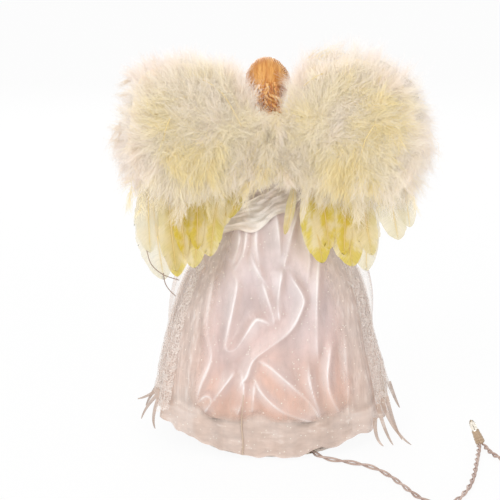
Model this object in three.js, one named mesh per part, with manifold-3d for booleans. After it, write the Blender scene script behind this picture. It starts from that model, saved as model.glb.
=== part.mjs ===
// Angel tree topper: a dressed doll on an open cone that slips over the top shoot of a tree.
// Millimetres, +Z up, the face towards -Y. The origin is the centre of the cone's mouth.
import * as THREE from 'three';
import { mergeVertices } from 'three/addons/utils/BufferGeometryUtils.js';
import Module from 'manifold-3d';

// Fits
const GAP = 0.3; // air between pieces that touch on the real object
const CLOTH_GAP = 0.5; // air between two layers of cloth
const OVERCUT = 2; // how far a cutter runs past the face that it cuts

// Cone
const CONE_HEIGHT = 190;
const CONE_MOUTH_RADIUS = 60;
const CONE_TOP_RADIUS = 15;
const CONE_WALL = 1.4;
const FOOT_WIDTH = 2.5;
const FOOT_THICK = 2;
const CONE_SIDES = 40;

// Doll's bust
const SPIGOT_DEPTH = 10;
const WAIST_WIDTH = 33;
const CHEST_WIDTH = 49;
const SHOULDER_WIDTH = 56;
const CHEST_DEPTH = 32;
const TORSO_HEIGHT = 39; // waist to the widest part of the shoulders
const NECK_RADIUS = 8;
const NECK_LENGTH = 15;
const HEAD_WIDTH = 30;
const HEAD_DEPTH = 33;
const HEAD_HEIGHT = 39;
const HEAD_TILT = 9; // degrees, towards the doll's left
const TORSO_SIDES = 20;

// Hair
const HAIR_THICK = 3;
const HAIRLINE_SLOPE = 38; // degrees, the cut that leaves the face free
const RINGLET_COIL_RADIUS = 2.3;
const RINGLET_STRAND_RADIUS = 1.6;
const RINGLET_PITCH = 4.4;
const RINGLET_TURNS = 4;
const RINGLET_TURN_POINTS = 8;
const RINGLET_SPACING = 8.4;
const RINGLET_LEAN = 3; // degrees, out over the back
const RINGLET_RISE = 5; // top of the curls above the cap's lower edge

// Dress
const BODICE_WALL = 1.2;
const WAIST_EASE = 1.8; // the skirt's waist outside the bodice
const SATIN_WALL = 0.9;
const SATIN_RISE = 5.7; // top edge above the waist
const SATIN_HEM = 28;
const ORGANZA_WALL = 0.7;
const ORGANZA_DROP = 2; // top edge below the satin's
const ORGANZA_HEM = 1.2;
const ORGANZA_SIDE_RISE = 16; // how much higher the hem hangs at the sides
const HEM_ROOM_SIDE = 24; // satin hem outside the cone's foot, at the sides
const HEM_ROOM_BACK = 2.5; // and at front and back
const FLOOR_FLARE = 3; // how much further out the organza stands at the floor
const FOLD_DEPTH = 3.2; // crest to mean at the hem
const FOLD_COUNT = 15;
const PLEATS_PER_GORE = 12;
const SEAM_GAP = 0.25; // degrees taken off each side of a seam
const ORGANZA_SEAM_PLEAT = 16; // pleat lines are counted from the left gore's front seam
const LACE_WALL = 0.8;
const LACE_DROP = 58; // top edge below the satin's
const LACE_TAILS = 4;
const LACE_TAIL_PLEATS = 2;
const LACE_VALLEY = 26;
const LACE_TIP = 3;
const LACE_FLARE = 13;
const LACE_FLARE_HEIGHT = 46;
const SASH_WALL = 0.8;
const SASH_WIDTH = 15;
const SASH_LOW_DROP = 44; // middle of the low end below the satin's top edge
const SASH_HIGH_DROP = 12;
const SASH_FIRST_PLEAT = 9;
const SASH_LAST_PLEAT = 23;

// Arms
const SHOULDER_DROP = 2; // shoulder pivot below the widest part of the shoulders
const ARM_WIRE_RADIUS = 1;
const ARM_WIRE_IN_BUST = 8;
const ELBOW_OUT = 17; // the elbow from the shoulder pivot
const ELBOW_FORWARD = 11;
const ELBOW_DROP = 29;
const CUFF_FROM_MIDDLE = 16;
const CUFF_FORWARD = 46; // the cuff from the shoulder pivot
const CUFF_DROP = 21;
const FOREARM_SAG = 4;
const SLEEVE_WALL = 0.8;
const SLEEVE_SIDES = 12;
const SLEEVE_GATHER = 3; // length of the gathers that close the sleeve's head on the wire
const SLEEVE_TOP_RADIUS = 8;
const SLEEVE_PUFF_RADIUS = 11.5;
const SLEEVE_ELBOW_RADIUS = 9;
const SLEEVE_CUFF_RADIUS = 11.5;
const HAND_IN_SLEEVE = 3;
const WRIST_RADIUS = 3.3;
// From the cuff: inwards, forwards and up, then half the width and half the thickness.
const HAND_SHAPE = [
  [5.5, 5, 3.5, 2.9, 2.6],
  [10, 8.5, 8, 4.6, 2.3],
  [12.6, 10.5, 15, 4.1, 1.9],
  [13.6, 11, 22, 2.6, 1.3],
];
const THUMB_PLACE = [11.8, 5.2, 12.5]; // inwards, forwards and up from the cuff
const THUMB_LENGTH = 8;
const THUMB_WIDTH = 2.8;

// Wings
const WING_ABOVE_SHOULDER = 2.7; // pivot above the widest part of the shoulders
const HUB_STAND_OFF = 3.5; // pivot behind the bodice
const WING_TILT = 12; // degrees, lower edge to the back
const WING_SWEEP = 12; // degrees, tips to the back
const WING_BACK_TRAVEL = 12; // degrees of bend that the down leaves room for
const HINGE_SPACING = 10;
const FOLD_GAP = 0.6; // the scored fold between hub and board
const HUB_TOP = -3; // heights on the wing are measured from the pivot
const HUB_HEIGHT = 30;
const BOARD_THICK = 1.6;
const WING_WIDTH = 113;
const WING_HEIGHT = 123;
const WING_RISE = 7; // middle of the down above the pivot
const WING_FOLD_EASE = 1.5; // the down from the fold
const DOWN_DEPTH = 28;
const DOWN_FRONT_DEPTH = 9;
const RIM_TUFTS = 11;
const INNER_TUFTS = 6;
const CENTRE_ANGLE = 14; // degrees each side that the middle tuft takes up
const CENTRE_TUFT_WIDTH = 28;
const HEAD_EASE = 5.5; // from the hair to the down beside it
const FEATHER_THICK = 0.9;
const FEATHER_WIDTH = 23;
const FEATHER_ROOT_DROP = 22; // roots below the pivot
const FEATHER_BEND_GAP = 3; // the bend starts this far below the down
const FEATHER_BEND_SLOPE = 0.32;
// Shares of the wing's width at root and tip, then the length.
const LONG_FEATHERS = {
  left: [
    [0.19, 0.265, 56],
    [0.41, 0.505, 71],
    [0.53, 0.6, 76],
    [0.76, 0.69, 76],
  ],
  right: [
    [0.195, 0.29, 66],
    [0.39, 0.48, 68],
    [0.55, 0.56, 69],
    [0.69, 0.76, 52],
  ],
};

// Light string
const LAMP_COUNT = 9;
const LAMP_LOWEST = 52;
const LAMP_RISE = 6; // from one lamp to the next
const LAMP_STEP_ANGLE = 80; // degrees
const LAMP_FIRST_ANGLE = 161; // degrees
const LAMP_BODY_RADIUS = 2.9;
const LAMP_FLANGE_RADIUS = 4.6;
const LAMP_FLANGE_THICK = 1.7;
const LAMP_TAIL = 13; // behind the cone's inner face
const LAMP_REACH = 9; // in front of it
const LAMP_HOLE_CLEARANCE = 0.4;
const LAMP_SEAT_CLEARANCE = 0.7; // flange to the cone's curved inner face
const HARNESS_RADIUS = 1.1;

// Lead, coil and plug
const CORD_DIAMETER = 3.6;
const CORD_HEIGHT = 2.3; // centre line above the floor
const CORD_ANGLE = 116.7; // degrees, where the lead leaves the cone
const GROMMET_WIDTH = 8;
const GROMMET_HEIGHT = 7;
const GROMMET_DEPTH = 7;
const HEM_ARCH = 6; // how far the organza lifts over the lead
const COIL_CENTRE = new THREE.Vector2(-202, 92);
const COIL_OUTER_RADIUS = 26;
const COIL_PITCH = 4.3;
const COIL_TURNS_IN = 2.25;
const PLUG_LENGTH = 24;
const PLUG_WIDTH = 20;
const PLUG_HEIGHT = 12.6;
const PLUG_CORNER = 3;
const RELIEF_LENGTH = 13;
const BLADE_LENGTH = 16;
const BLADE_WIDTH = 6.3;
const BLADE_THICK = 1.5;
const BLADE_SPACING = 12.7;
const BLADE_EYE_RADIUS = 1.5;
const FUSE_COVER_LENGTH = 11;
const FUSE_COVER_WIDTH = 12;
const FUSE_COVER_THICK = 1.6;
const FUSE_COVER_TRAVEL = 9;
const LOOSE_LAMP = new THREE.Vector3(-156.5, 40.5, 2.2);
const LOOSE_LAMP_LEAN = 24; // degrees from upright
const LOOSE_HOLDER_RADIUS = 3.6;
const LOOSE_HOLDER_HEIGHT = 11;
const LOOSE_BULB_RADIUS = 2.5;
const LOOSE_BULB_HEIGHT = 9;

const wasm = await Module();
wasm.setup();
const rad = THREE.MathUtils.degToRad;
const lerp = THREE.MathUtils.lerp;
const vec = (x, y, z) => new THREE.Vector3(x, y, z);
const topper = new THREE.Group();

// Materials
function paint(color, roughness, metalness = 0) {
  return new THREE.MeshStandardMaterial({ color, roughness, metalness });
}

const conePlastic = paint(0xe9d3c4, 0.5);
const skin = paint(0xf0cdb4, 0.45);
const hair = paint(0xdf9a4c, 0.4);
const satin = paint(0xf3e6e4, 0.25);
const organza = paint(0xf4ece8, 0.4);
const lace = paint(0xf7f3f1, 0.7);
const card = paint(0xe8e2d8, 0.8);
const down = paint(0xf4ecd8, 0.9);
const feather = paint(0xe3dd92, 0.6);
const wire = paint(0xb8b8b4, 0.3, 1);
const cordPlastic = paint(0xe6ded4, 0.5);
const lampPlastic = paint(0xf2efe8, 0.3);
const glass = paint(0xf6e7cf, 0.1);
const brass = paint(0xd2ab62, 0.3, 1);

function addPiece(parent, name, geometry, piece) {
  const mesh = new THREE.Mesh(geometry, piece);
  mesh.name = name;
  parent.add(mesh);
  return mesh;
}

// Mesh helpers

function indexed(geometry) {
  const bare = geometry.clone();
  for (const name of Object.keys(bare.attributes)) {
    if (name !== 'position') {
      bare.deleteAttribute(name);
    }
  }
  return mergeVertices(bare, 1e-4);
}

function triangles(geometry) {
  const list = [];
  const index = geometry.index.array;
  for (let i = 0; i < index.length; i += 3) {
    const [a, b, c] = [index[i], index[i + 1], index[i + 2]];
    if (a !== b && b !== c && c !== a) {
      list.push([a, b, c]);
    }
  }
  return list;
}

// Merges shared corners and turns the faces outwards.
function closed(geometry) {
  const merged = indexed(geometry);
  const faces = triangles(merged);
  const at = (i) => new THREE.Vector3().fromBufferAttribute(merged.attributes.position, i);
  let volume = 0;
  for (const [a, b, c] of faces) {
    volume += at(a).dot(at(b).cross(at(c)));
  }
  const outward = volume < 0 ? faces.map(([a, b, c]) => [a, c, b]) : faces;
  merged.setIndex(outward.flat());
  merged.computeVertexNormals();
  return merged;
}

function solid(geometry) {
  const mesh = closed(geometry);
  return new wasm.Manifold(
    new wasm.Mesh({
      numProp: 3,
      vertProperties: new Float32Array(mesh.attributes.position.array),
      triVerts: new Uint32Array(mesh.index.array),
    }),
  );
}

function geometryOf(body) {
  const mesh = body.getMesh();
  const geometry = new THREE.BufferGeometry();
  geometry.setAttribute('position', new THREE.BufferAttribute(new Float32Array(mesh.vertProperties), 3));
  geometry.setIndex(new THREE.BufferAttribute(new Uint32Array(mesh.triVerts), 1));
  geometry.computeVertexNormals();
  return geometry;
}

const joined = (geometries) => geometries.map(solid).reduce((all, next) => all.add(next));

function cut(body, cutters) {
  return cutters.reduce((rest, cutter) => rest.subtract(solid(cutter)), body);
}

function fromPoints(points, faces) {
  const geometry = new THREE.BufferGeometry().setFromPoints(points);
  geometry.setIndex(faces.flat());
  return geometry;
}

// Faces of a grid of columns by rows, closed round the columns where wrap is true.
function gridFaces(columns, rows, wrap) {
  const faces = [];
  const count = wrap ? columns : columns + 1;
  for (let i = 0; i < columns; i += 1) {
    for (let j = 0; j < rows; j += 1) {
      const [a, b] = [i * (rows + 1) + j, ((i + 1) % count) * (rows + 1) + j];
      faces.push([a, b, b + 1], [a, b + 1, a + 1]);
    }
  }
  return faces;
}

// A wall between an outer and an inner sheet that share one grid of faces.
function wallBetween(outer, inner, faces) {
  const offset = outer.length;
  const edges = new Set(faces.flatMap(([a, b, c]) => [`${a},${b}`, `${b},${c}`, `${c},${a}`]));
  const back = faces.map(([a, b, c]) => [a + offset, c + offset, b + offset]);
  const rim = [];
  for (const edge of edges) {
    const [a, b] = edge.split(',').map(Number);
    if (!edges.has(`${b},${a}`)) {
      rim.push([b, a, a + offset], [b, a + offset, b + offset]);
    }
  }
  return closed(fromPoints([...outer, ...inner], [...faces, ...back, ...rim]));
}

// A solid through rings of points, with flat ends.
function loft(rings) {
  const sides = rings[0].length;
  const points = rings.flat();
  const faces = [];
  for (let k = 0; k + 1 < rings.length; k += 1) {
    for (let i = 0; i < sides; i += 1) {
      const [a, b] = [k * sides + i, k * sides + ((i + 1) % sides)];
      faces.push([a, b, b + sides], [a, b + sides, a + sides]);
    }
  }
  const last = (rings.length - 1) * sides;
  for (let i = 1; i + 1 < sides; i += 1) {
    faces.push([0, i + 1, i], [last, last + i, last + i + 1]);
  }
  return closed(fromPoints(points, faces));
}

function oval(halfWidth, halfDepth, height, sides) {
  return Array.from({ length: sides }, (_, i) => {
    const angle = (2 * Math.PI * i) / sides;
    return vec(halfWidth * Math.cos(angle), halfDepth * Math.sin(angle), height);
  });
}

// A ring round a path's point, square to its direction and wide along the given flat direction.
function ringAt(centre, direction, flat, halfWidth, halfThick, sides) {
  const across = new THREE.Vector3().crossVectors(direction, flat).normalize();
  const along = new THREE.Vector3().crossVectors(across, direction).normalize();
  return Array.from({ length: sides }, (_, i) => {
    const angle = (2 * Math.PI * i) / sides;
    return centre
      .clone()
      .addScaledVector(across, halfWidth * Math.cos(angle))
      .addScaledVector(along, halfThick * Math.sin(angle));
  });
}

// Revolved about Z, from [radius, height] pairs.
function turned(profile, sides) {
  const points = profile.map(([radius, height]) => new THREE.Vector2(radius, height));
  return closed(new THREE.LatheGeometry(points, sides).rotateX(Math.PI / 2));
}

function tube(points, radius, sides, steps) {
  const corners = oval(radius, radius, 0, sides).map((p) => new THREE.Vector2(p.x, p.y));
  const extrudePath = new THREE.CatmullRomCurve3(points);
  const options = { steps, bevelEnabled: false, extrudePath };
  return closed(new THREE.ExtrudeGeometry(new THREE.Shape(corners), options));
}

function ball(halfWidth, halfDepth, halfHeight, sides = 10, rings = 7) {
  const round = new THREE.SphereGeometry(1, sides, rings).rotateX(Math.PI / 2);
  return round.scale(halfWidth, halfDepth, halfHeight);
}

const box = (width, depth, height) => new THREE.BoxGeometry(width, depth, height);

function rod(radius, length, sides = 12) {
  return new THREE.CylinderGeometry(radius, radius, length, sides).rotateX(Math.PI / 2);
}

const aimed = (direction) => new THREE.Quaternion().setFromUnitVectors(vec(0, 0, 1), direction);

// The least gap of a round strand to itself, leaving out what lies close along it.
function selfGap(points, diameter) {
  const path = new THREE.CatmullRomCurve3(points);
  const samples = path.getSpacedPoints(400);
  const step = path.getLength() / 400;
  const near = Math.ceil((3 * diameter) / step);
  let least = Infinity;
  samples.forEach((p, i) => {
    for (let j = i + near; j < samples.length; j += 1) {
      least = Math.min(least, p.distanceTo(samples[j]));
    }
  });
  return least - diameter;
}

// Cone, with a foot ring, lamp holes and a notch for the lead

const coneSlope = (CONE_MOUTH_RADIUS - CONE_TOP_RADIUS) / CONE_HEIGHT;
const coneOuter = (height) => CONE_MOUTH_RADIUS - coneSlope * height;
const coneInner = (height) => coneOuter(height) - CONE_WALL;

function polar(angle, radius, height) {
  return vec(radius * Math.cos(rad(angle)), radius * Math.sin(rad(angle)), height);
}

function lampSeat(number) {
  const angle = LAMP_FIRST_ANGLE + LAMP_STEP_ANGLE * number;
  const height = LAMP_LOWEST + LAMP_RISE * number;
  const normal = polar(angle, 1, coneSlope).normalize();
  return { angle, height, normal, point: polar(angle, coneInner(height), height) };
}

const lampSeats = Array.from({ length: LAMP_COUNT }, (_, number) => lampSeat(number));

function coneGeometry() {
  const foot = CONE_MOUTH_RADIUS + FOOT_WIDTH;
  const shell = turned(
    [
      [coneInner(0), 0],
      [foot, 0],
      [foot, FOOT_THICK],
      [coneOuter(FOOT_THICK), FOOT_THICK],
      [CONE_TOP_RADIUS, CONE_HEIGHT],
      [CONE_TOP_RADIUS - CONE_WALL, CONE_HEIGHT],
      [coneInner(0), 0],
    ],
    CONE_SIDES,
  );
  const holes = lampSeats.map(({ normal, point }) => {
    const hole = rod(LAMP_BODY_RADIUS + LAMP_HOLE_CLEARANCE, CONE_WALL + 4 * OVERCUT, 8);
    return hole.applyQuaternion(aimed(normal)).translate(point.x, point.y, point.z);
  });
  const notchHeight = GROMMET_HEIGHT + GAP + OVERCUT;
  const notch = box(GROMMET_DEPTH + 4 * OVERCUT, GROMMET_WIDTH + 2 * GAP, notchHeight)
    .translate(CONE_MOUTH_RADIUS, 0, notchHeight / 2 - OVERCUT)
    .rotateZ(rad(CORD_ANGLE));
  return geometryOf(cut(solid(shell), [...holes, notch]));
}

addPiece(topper, 'cone_core', coneGeometry(), conePlastic);

// Bust: spigot, torso, neck and head in one moulding

const waistHeight = CONE_HEIGHT + GAP;
const torsoLevels = [
  [0, WAIST_WIDTH / 2, CHEST_DEPTH * 0.43],
  [0.17, WAIST_WIDTH / 2 + 0.5, CHEST_DEPTH * 0.44],
  [0.45, (WAIST_WIDTH + CHEST_WIDTH) / 4, CHEST_DEPTH * 0.48],
  [0.76, CHEST_WIDTH / 2, CHEST_DEPTH * 0.5],
  [1, SHOULDER_WIDTH / 2, CHEST_DEPTH * 0.46],
  [1.16, SHOULDER_WIDTH * 0.37, CHEST_DEPTH * 0.36],
].map(([share, halfWidth, halfDepth]) => [waistHeight + share * TORSO_HEIGHT, halfWidth, halfDepth]);
const shoulderTop = waistHeight + TORSO_HEIGHT;
const neckBase = waistHeight + 1.3 * TORSO_HEIGHT;
const headCentre = neckBase + NECK_LENGTH * 0.45 + HEAD_HEIGHT / 2;
const headPivot = vec(0, 0, neckBase);
const shoulderPivot = vec(SHOULDER_WIDTH / 2, -1, shoulderTop - SHOULDER_DROP);

function torsoRings(grow) {
  return torsoLevels.map(([height, w, d]) => oval(w + grow, d + grow, height, TORSO_SIDES));
}

function shoulderBores() {
  const length = ARM_WIRE_IN_BUST + GAP + 5 * OVERCUT;
  const inner = shoulderPivot.x - ARM_WIRE_IN_BUST - GAP;
  return [1, -1].map((side) => {
    const bore = rod(ARM_WIRE_RADIUS + GAP, length, 8).rotateY(Math.PI / 2);
    return bore.translate(side * (inner + length / 2), shoulderPivot.y, shoulderPivot.z);
  });
}

function headGeometry() {
  const skull = ball(HEAD_WIDTH / 2, HEAD_DEPTH / 2, HEAD_HEIGHT / 2, 16, 10);
  const jaw = ball(HEAD_WIDTH * 0.34, HEAD_DEPTH * 0.34, HEAD_HEIGHT * 0.26, 12, 8);
  jaw.translate(0, -HEAD_DEPTH * 0.16, -HEAD_HEIGHT * 0.27);
  const nose = ball(HEAD_WIDTH * 0.06, HEAD_DEPTH * 0.09, HEAD_HEIGHT * 0.1, 8, 6);
  nose.translate(0, -HEAD_DEPTH * 0.49, -HEAD_HEIGHT * 0.1);
  return [skull, jaw, nose].map((piece) => piece.translate(0, 0, headCentre - neckBase));
}

function tilted(geometry) {
  return geometry.rotateY(rad(HEAD_TILT)).translate(headPivot.x, headPivot.y, headPivot.z);
}

function bustGeometry() {
  const spigotRadius = CONE_TOP_RADIUS - CONE_WALL - GAP - coneSlope * GAP;
  const spigotLength = SPIGOT_DEPTH + OVERCUT;
  const spigot = rod(spigotRadius, spigotLength, TORSO_SIDES);
  spigot.translate(0, 0, CONE_HEIGHT - SPIGOT_DEPTH + spigotLength / 2);
  const neckRings = [
    oval(NECK_RADIUS * 1.25, NECK_RADIUS * 1.15, neckBase, TORSO_SIDES),
    oval(NECK_RADIUS, NECK_RADIUS, neckBase + NECK_LENGTH * 0.4, TORSO_SIDES),
    oval(NECK_RADIUS * 0.95, NECK_RADIUS * 0.95, neckBase + NECK_LENGTH, TORSO_SIDES),
  ];
  const torso = loft([...torsoRings(0), ...neckRings]);
  const body = joined([torso, spigot, ...headGeometry().map(tilted)]);
  return geometryOf(cut(body, shoulderBores()));
}

addPiece(topper, 'bust', bustGeometry(), skin);

// Hair: a cap combed back over the skull, and ringlets that hang from its nape

const headGroup = new THREE.Group();
headGroup.position.copy(headPivot);
headGroup.rotation.y = rad(HEAD_TILT);
topper.add(headGroup);
const napeHeight = headCentre - neckBase - HEAD_HEIGHT * 0.33;

function wigGeometry() {
  const grown = (extra) => {
    const skull = ball(HEAD_WIDTH / 2 + extra, HEAD_DEPTH / 2 + extra, HEAD_HEIGHT / 2 + extra, 16, 12);
    return skull.translate(0, 0, headCentre - neckBase);
  };
  const reach = 2 * HEAD_HEIGHT;
  const face = box(reach, reach, reach).rotateX(rad(-HAIRLINE_SLOPE));
  face.translate(0, -reach * 0.5 - HEAD_DEPTH * 0.12, headCentre - neckBase - HEAD_HEIGHT * 0.32);
  const below = box(reach, reach, reach).translate(0, 0, napeHeight - reach / 2);
  return geometryOf(cut(solid(grown(HAIR_THICK)), [grown(GAP), face, below]));
}

addPiece(headGroup, 'wig_cap', wigGeometry(), hair);

function ringletPath(sideways) {
  const top = napeHeight + RINGLET_RISE;
  const capHeight = HEAD_HEIGHT / 2 + HAIR_THICK;
  const below = (headCentre - neckBase - top) / capHeight;
  const beside = sideways / (HEAD_WIDTH / 2 + HAIR_THICK);
  const capBack = (HEAD_DEPTH / 2 + HAIR_THICK) * Math.sqrt(1 - below ** 2 - beside ** 2);
  // The cap's flat facets leave the air between cap and curl.
  const axis = capBack + RINGLET_COIL_RADIUS + RINGLET_STRAND_RADIUS;
  const hand = sideways < 0 ? -1 : 1;
  return Array.from({ length: RINGLET_TURNS * RINGLET_TURN_POINTS + 1 }, (_, i) => {
    const angle = (2 * Math.PI * i) / RINGLET_TURN_POINTS - Math.PI / 2;
    const fall = (RINGLET_PITCH * i) / RINGLET_TURN_POINTS;
    const x = sideways + hand * RINGLET_COIL_RADIUS * Math.cos(angle);
    const y = axis + fall * Math.tan(rad(RINGLET_LEAN)) + RINGLET_COIL_RADIUS * Math.sin(angle);
    return vec(x, y, top - fall);
  });
}

for (const [name, place] of [['left', 1], ['centre', 0], ['right', -1]]) {
  const path = ringletPath(place * RINGLET_SPACING);
  const curl = tube(path, RINGLET_STRAND_RADIUS, 5, path.length - 1);
  addPiece(headGroup, `ringlet_${name}`, curl, hair);
  const least = selfGap(path, 2 * RINGLET_STRAND_RADIUS);
  console.log(`ringlet_${name} least gap to itself: ${least.toFixed(2)} mm`);
}

// Bodice, a close shell of cloth over the torso

// The points of a stack of rings, one column after another.
function columnsFirst(rings) {
  return rings[0].flatMap((_, i) => rings.map((ring) => ring[i]));
}

function bodiceGeometry() {
  const rows = torsoLevels.length - 1;
  const outer = columnsFirst(torsoRings(GAP + BODICE_WALL));
  const inner = columnsFirst(torsoRings(GAP));
  const shell = wallBetween(outer, inner, gridFaces(TORSO_SIDES, rows, true));
  return geometryOf(cut(solid(shell), shoulderBores()));
}

addPiece(topper, 'bodice', bodiceGeometry(), satin);

// Skirt: satin gores, organza panels over them, lace at the sides and a sash at the back

// Shares of the fall from waist to hem, and of the spread, along a gore's cut.
const skirtCut = [
  [0, 0],
  [0.06, 0.12],
  [0.19, 0.35],
  [0.34, 0.57],
  [0.51, 0.77],
  [0.76, 0.95],
  [1, 1],
];
const satinTop = waistHeight + SATIN_RISE;
const skirtFall = satinTop - SATIN_HEM;
const skirtLevels = skirtCut.map(([fall]) => satinTop - fall * skirtFall);
const waistRoom = GAP + BODICE_WALL + WAIST_EASE;
const waistHalfWidth = WAIST_WIDTH / 2 + waistRoom;
const waistHalfDepth = CHEST_DEPTH * 0.44 + waistRoom;
const hemHalfWidth = CONE_MOUTH_RADIUS + FOOT_WIDTH + HEM_ROOM_SIDE;
const hemHalfDepth = CONE_MOUTH_RADIUS + FOOT_WIDTH + HEM_ROOM_BACK;
const pleatAngle = 90 / PLEATS_PER_GORE;
const pleat = (number) => pleatAngle * number - 45;

function skirtSpread(height) {
  const fall = THREE.MathUtils.clamp((satinTop - height) / skirtFall, 0, 1);
  const next = Math.max(1, skirtCut.findIndex(([share]) => share >= fall));
  const [a, b] = [skirtCut[next - 1], skirtCut[next]];
  return THREE.MathUtils.mapLinear(fall, a[0], b[0], a[1], b[1]);
}

// How far a fold stands out, straight between one pleat line and the next.
function foldAt(angle, height) {
  const share = THREE.MathUtils.clamp((satinTop - height) / skirtFall, 0, 1);
  const line = (angle - pleat(0)) / pleatAngle;
  const wave = (number) => {
    const turn = rad(pleat(number));
    return 0.65 * Math.cos(FOLD_COUNT * turn + 0.6) + 0.35 * Math.cos((FOLD_COUNT - 6) * turn + 2.1);
  };
  const before = Math.floor(line);
  return FOLD_DEPTH * share * lerp(wave(before), wave(before + 1), line - before);
}

// A point of the skirt's surface, the given distance outside the satin's inner face.
function onSkirt(angle, height, offset) {
  const spread = skirtSpread(height);
  const flare = FLOOR_FLARE * THREE.MathUtils.clamp((SATIN_HEM - height) / SATIN_HEM, 0, 1);
  const reach = foldAt(angle, height) + offset + flare - SATIN_WALL;
  const halfWidth = lerp(waistHalfWidth, hemHalfWidth, spread) + reach;
  const halfDepth = lerp(waistHalfDepth, hemHalfDepth, spread) + reach;
  return vec(halfWidth * Math.cos(rad(angle)), halfDepth * Math.sin(rad(angle)), height);
}

// Angles from one pleat line to another, a step apart, drawn in a little at both ends.
function pleatLines(from, to, step = 1) {
  const count = Math.round((to - from) / step);
  const lines = Array.from({ length: count + 1 }, (_, i) => pleat(from + i * step));
  lines[0] += SEAM_GAP;
  lines[count] -= SEAM_GAP;
  return lines;
}

// A piece of cloth on the skirt, with its heights from the top edge to the hem at each angle.
function clothGeometry({ angles, heights, offset, wall, flare = () => 0 }) {
  const sheet = (extra) =>
    angles.flatMap((angle) =>
      heights(angle).map((height) => onSkirt(angle, height, offset + extra + flare(height))),
    );
  const faces = gridFaces(angles.length - 1, heights(angles[0]).length - 1, false);
  return wallBetween(sheet(wall), sheet(0), faces);
}

['left', 'back', 'right', 'front'].forEach((name, number) => {
  const from = PLEATS_PER_GORE * number;
  const gore = clothGeometry({
    angles: pleatLines(from, from + PLEATS_PER_GORE),
    heights: () => skirtLevels,
    offset: 0,
    wall: SATIN_WALL,
  });
  addPiece(topper, `satin_gore_${name}`, gore, satin);
});

const organzaOffset = SATIN_WALL + CLOTH_GAP;
const leadWay = polar(CORD_ANGLE, 1, 0);
const leadAngle = Math.atan2(hemHalfWidth * leadWay.y, hemHalfDepth * leadWay.x);
const archPleat = Math.round((THREE.MathUtils.radToDeg(leadAngle) - pleat(0)) / pleatAngle);

// Heights down a panel: the hem lifts towards the sides, and in an arch where the lead comes out.
function organzaHeights(angle) {
  const arch = HEM_ARCH * Math.max(0, 1 - Math.abs(angle - pleat(archPleat)) / pleatAngle);
  const rise = ORGANZA_SIDE_RISE * Math.abs(Math.cos(rad(angle))) ** 1.7;
  return [satinTop - ORGANZA_DROP, ...skirtLevels.slice(1), ORGANZA_HEM + arch + rise];
}

['back_right', 'front_right', 'front_left', 'back_left'].forEach((name, number) => {
  const from = ORGANZA_SEAM_PLEAT + PLEATS_PER_GORE * number;
  const panel = clothGeometry({
    angles: pleatLines(from, from + PLEATS_PER_GORE),
    heights: organzaHeights,
    offset: organzaOffset,
    wall: ORGANZA_WALL,
  });
  addPiece(topper, `organza_${name}`, panel, organza);
});

const laceOffset = organzaOffset + ORGANZA_WALL + CLOTH_GAP;

// Leaf lace at a side of the skirt, ending in pointed tails that stand off the hem.
function laceGeometry(middlePleat) {
  const laceTop = satinTop - LACE_DROP;
  const first = middlePleat - (LACE_TAILS * LACE_TAIL_PLEATS) / 2;
  const last = first + LACE_TAILS * LACE_TAIL_PLEATS;
  const tail = (angle) => {
    const along = (angle - pleat(first)) / pleatAngle / LACE_TAIL_PLEATS;
    const fromTip = Math.abs(2 * THREE.MathUtils.euclideanModulo(along, 1) - 1);
    return lerp(LACE_TIP, LACE_VALLEY, fromTip ** 0.8);
  };
  const inside = skirtLevels.filter((height) => height < laceTop - CLOTH_GAP);
  return clothGeometry({
    angles: pleatLines(first, last, 0.5),
    heights: (angle) => [laceTop, ...inside, (SATIN_HEM + tail(angle)) / 2, tail(angle)],
    offset: laceOffset,
    wall: LACE_WALL,
    flare: (height) => LACE_FLARE * Math.max(0, 1 - height / LACE_FLARE_HEIGHT) ** 2,
  });
}

addPiece(topper, 'lace_left', laceGeometry(PLEATS_PER_GORE / 2), lace);
addPiece(topper, 'lace_right', laceGeometry(PLEATS_PER_GORE * 2.5), lace);

// A loose organza sash, low on the left and high on the right.
function sashGeometry() {
  const [first, last] = [pleat(SASH_FIRST_PLEAT), pleat(SASH_LAST_PLEAT)];
  const [low, high] = [satinTop - SASH_LOW_DROP, satinTop - SASH_HIGH_DROP];
  const middle = (angle) => THREE.MathUtils.mapLinear(angle, first, last, low, high);
  return clothGeometry({
    angles: pleatLines(SASH_FIRST_PLEAT, SASH_LAST_PLEAT),
    heights: (angle) => [0.5, 0, -0.5].map((share) => middle(angle) + share * SASH_WIDTH),
    offset: laceOffset + CLOTH_GAP,
    wall: SASH_WALL,
  });
}

addPiece(topper, 'sash', sashGeometry(), organza);

// Arms: a wire that turns in the shoulder, a sleeve over it and a moulded hand

const elbow = shoulderPivot.clone().add(vec(ELBOW_OUT, -ELBOW_FORWARD, -ELBOW_DROP));
const cuff = vec(CUFF_FROM_MIDDLE, shoulderPivot.y - CUFF_FORWARD, shoulderPivot.z - CUFF_DROP);

// A point of the bent forearm, from the elbow at 0 to the cuff at 1.
function onForearm(share) {
  const sag = 4 * FOREARM_SAG * share * (1 - share);
  return elbow.clone().lerp(cuff, share).add(vec(0, 0, -sag));
}

const wristDirection = new THREE.Vector3().subVectors(cuff, onForearm(0.6)).normalize();
const handRoot = cuff.clone().addScaledVector(wristDirection, -HAND_IN_SLEEVE);
const upperArm = shoulderPivot.clone().lerp(elbow, 0.5).add(vec(ELBOW_OUT * 0.35, 0, 0));

function armWireGeometry() {
  const inner = shoulderPivot.x - ARM_WIRE_IN_BUST;
  const outer = shoulderPivot.x + GAP + BODICE_WALL + OVERCUT;
  const straight = [0, 0.33, 0.67, 1].map((share) => shoulderPivot.clone().setX(lerp(inner, outer, share)));
  const wireEnd = handRoot.clone().addScaledVector(wristDirection, -GAP - 0.1);
  return tube([...straight, upperArm, elbow, onForearm(0.6), wireEnd], ARM_WIRE_RADIUS, 6, 20);
}

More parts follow.
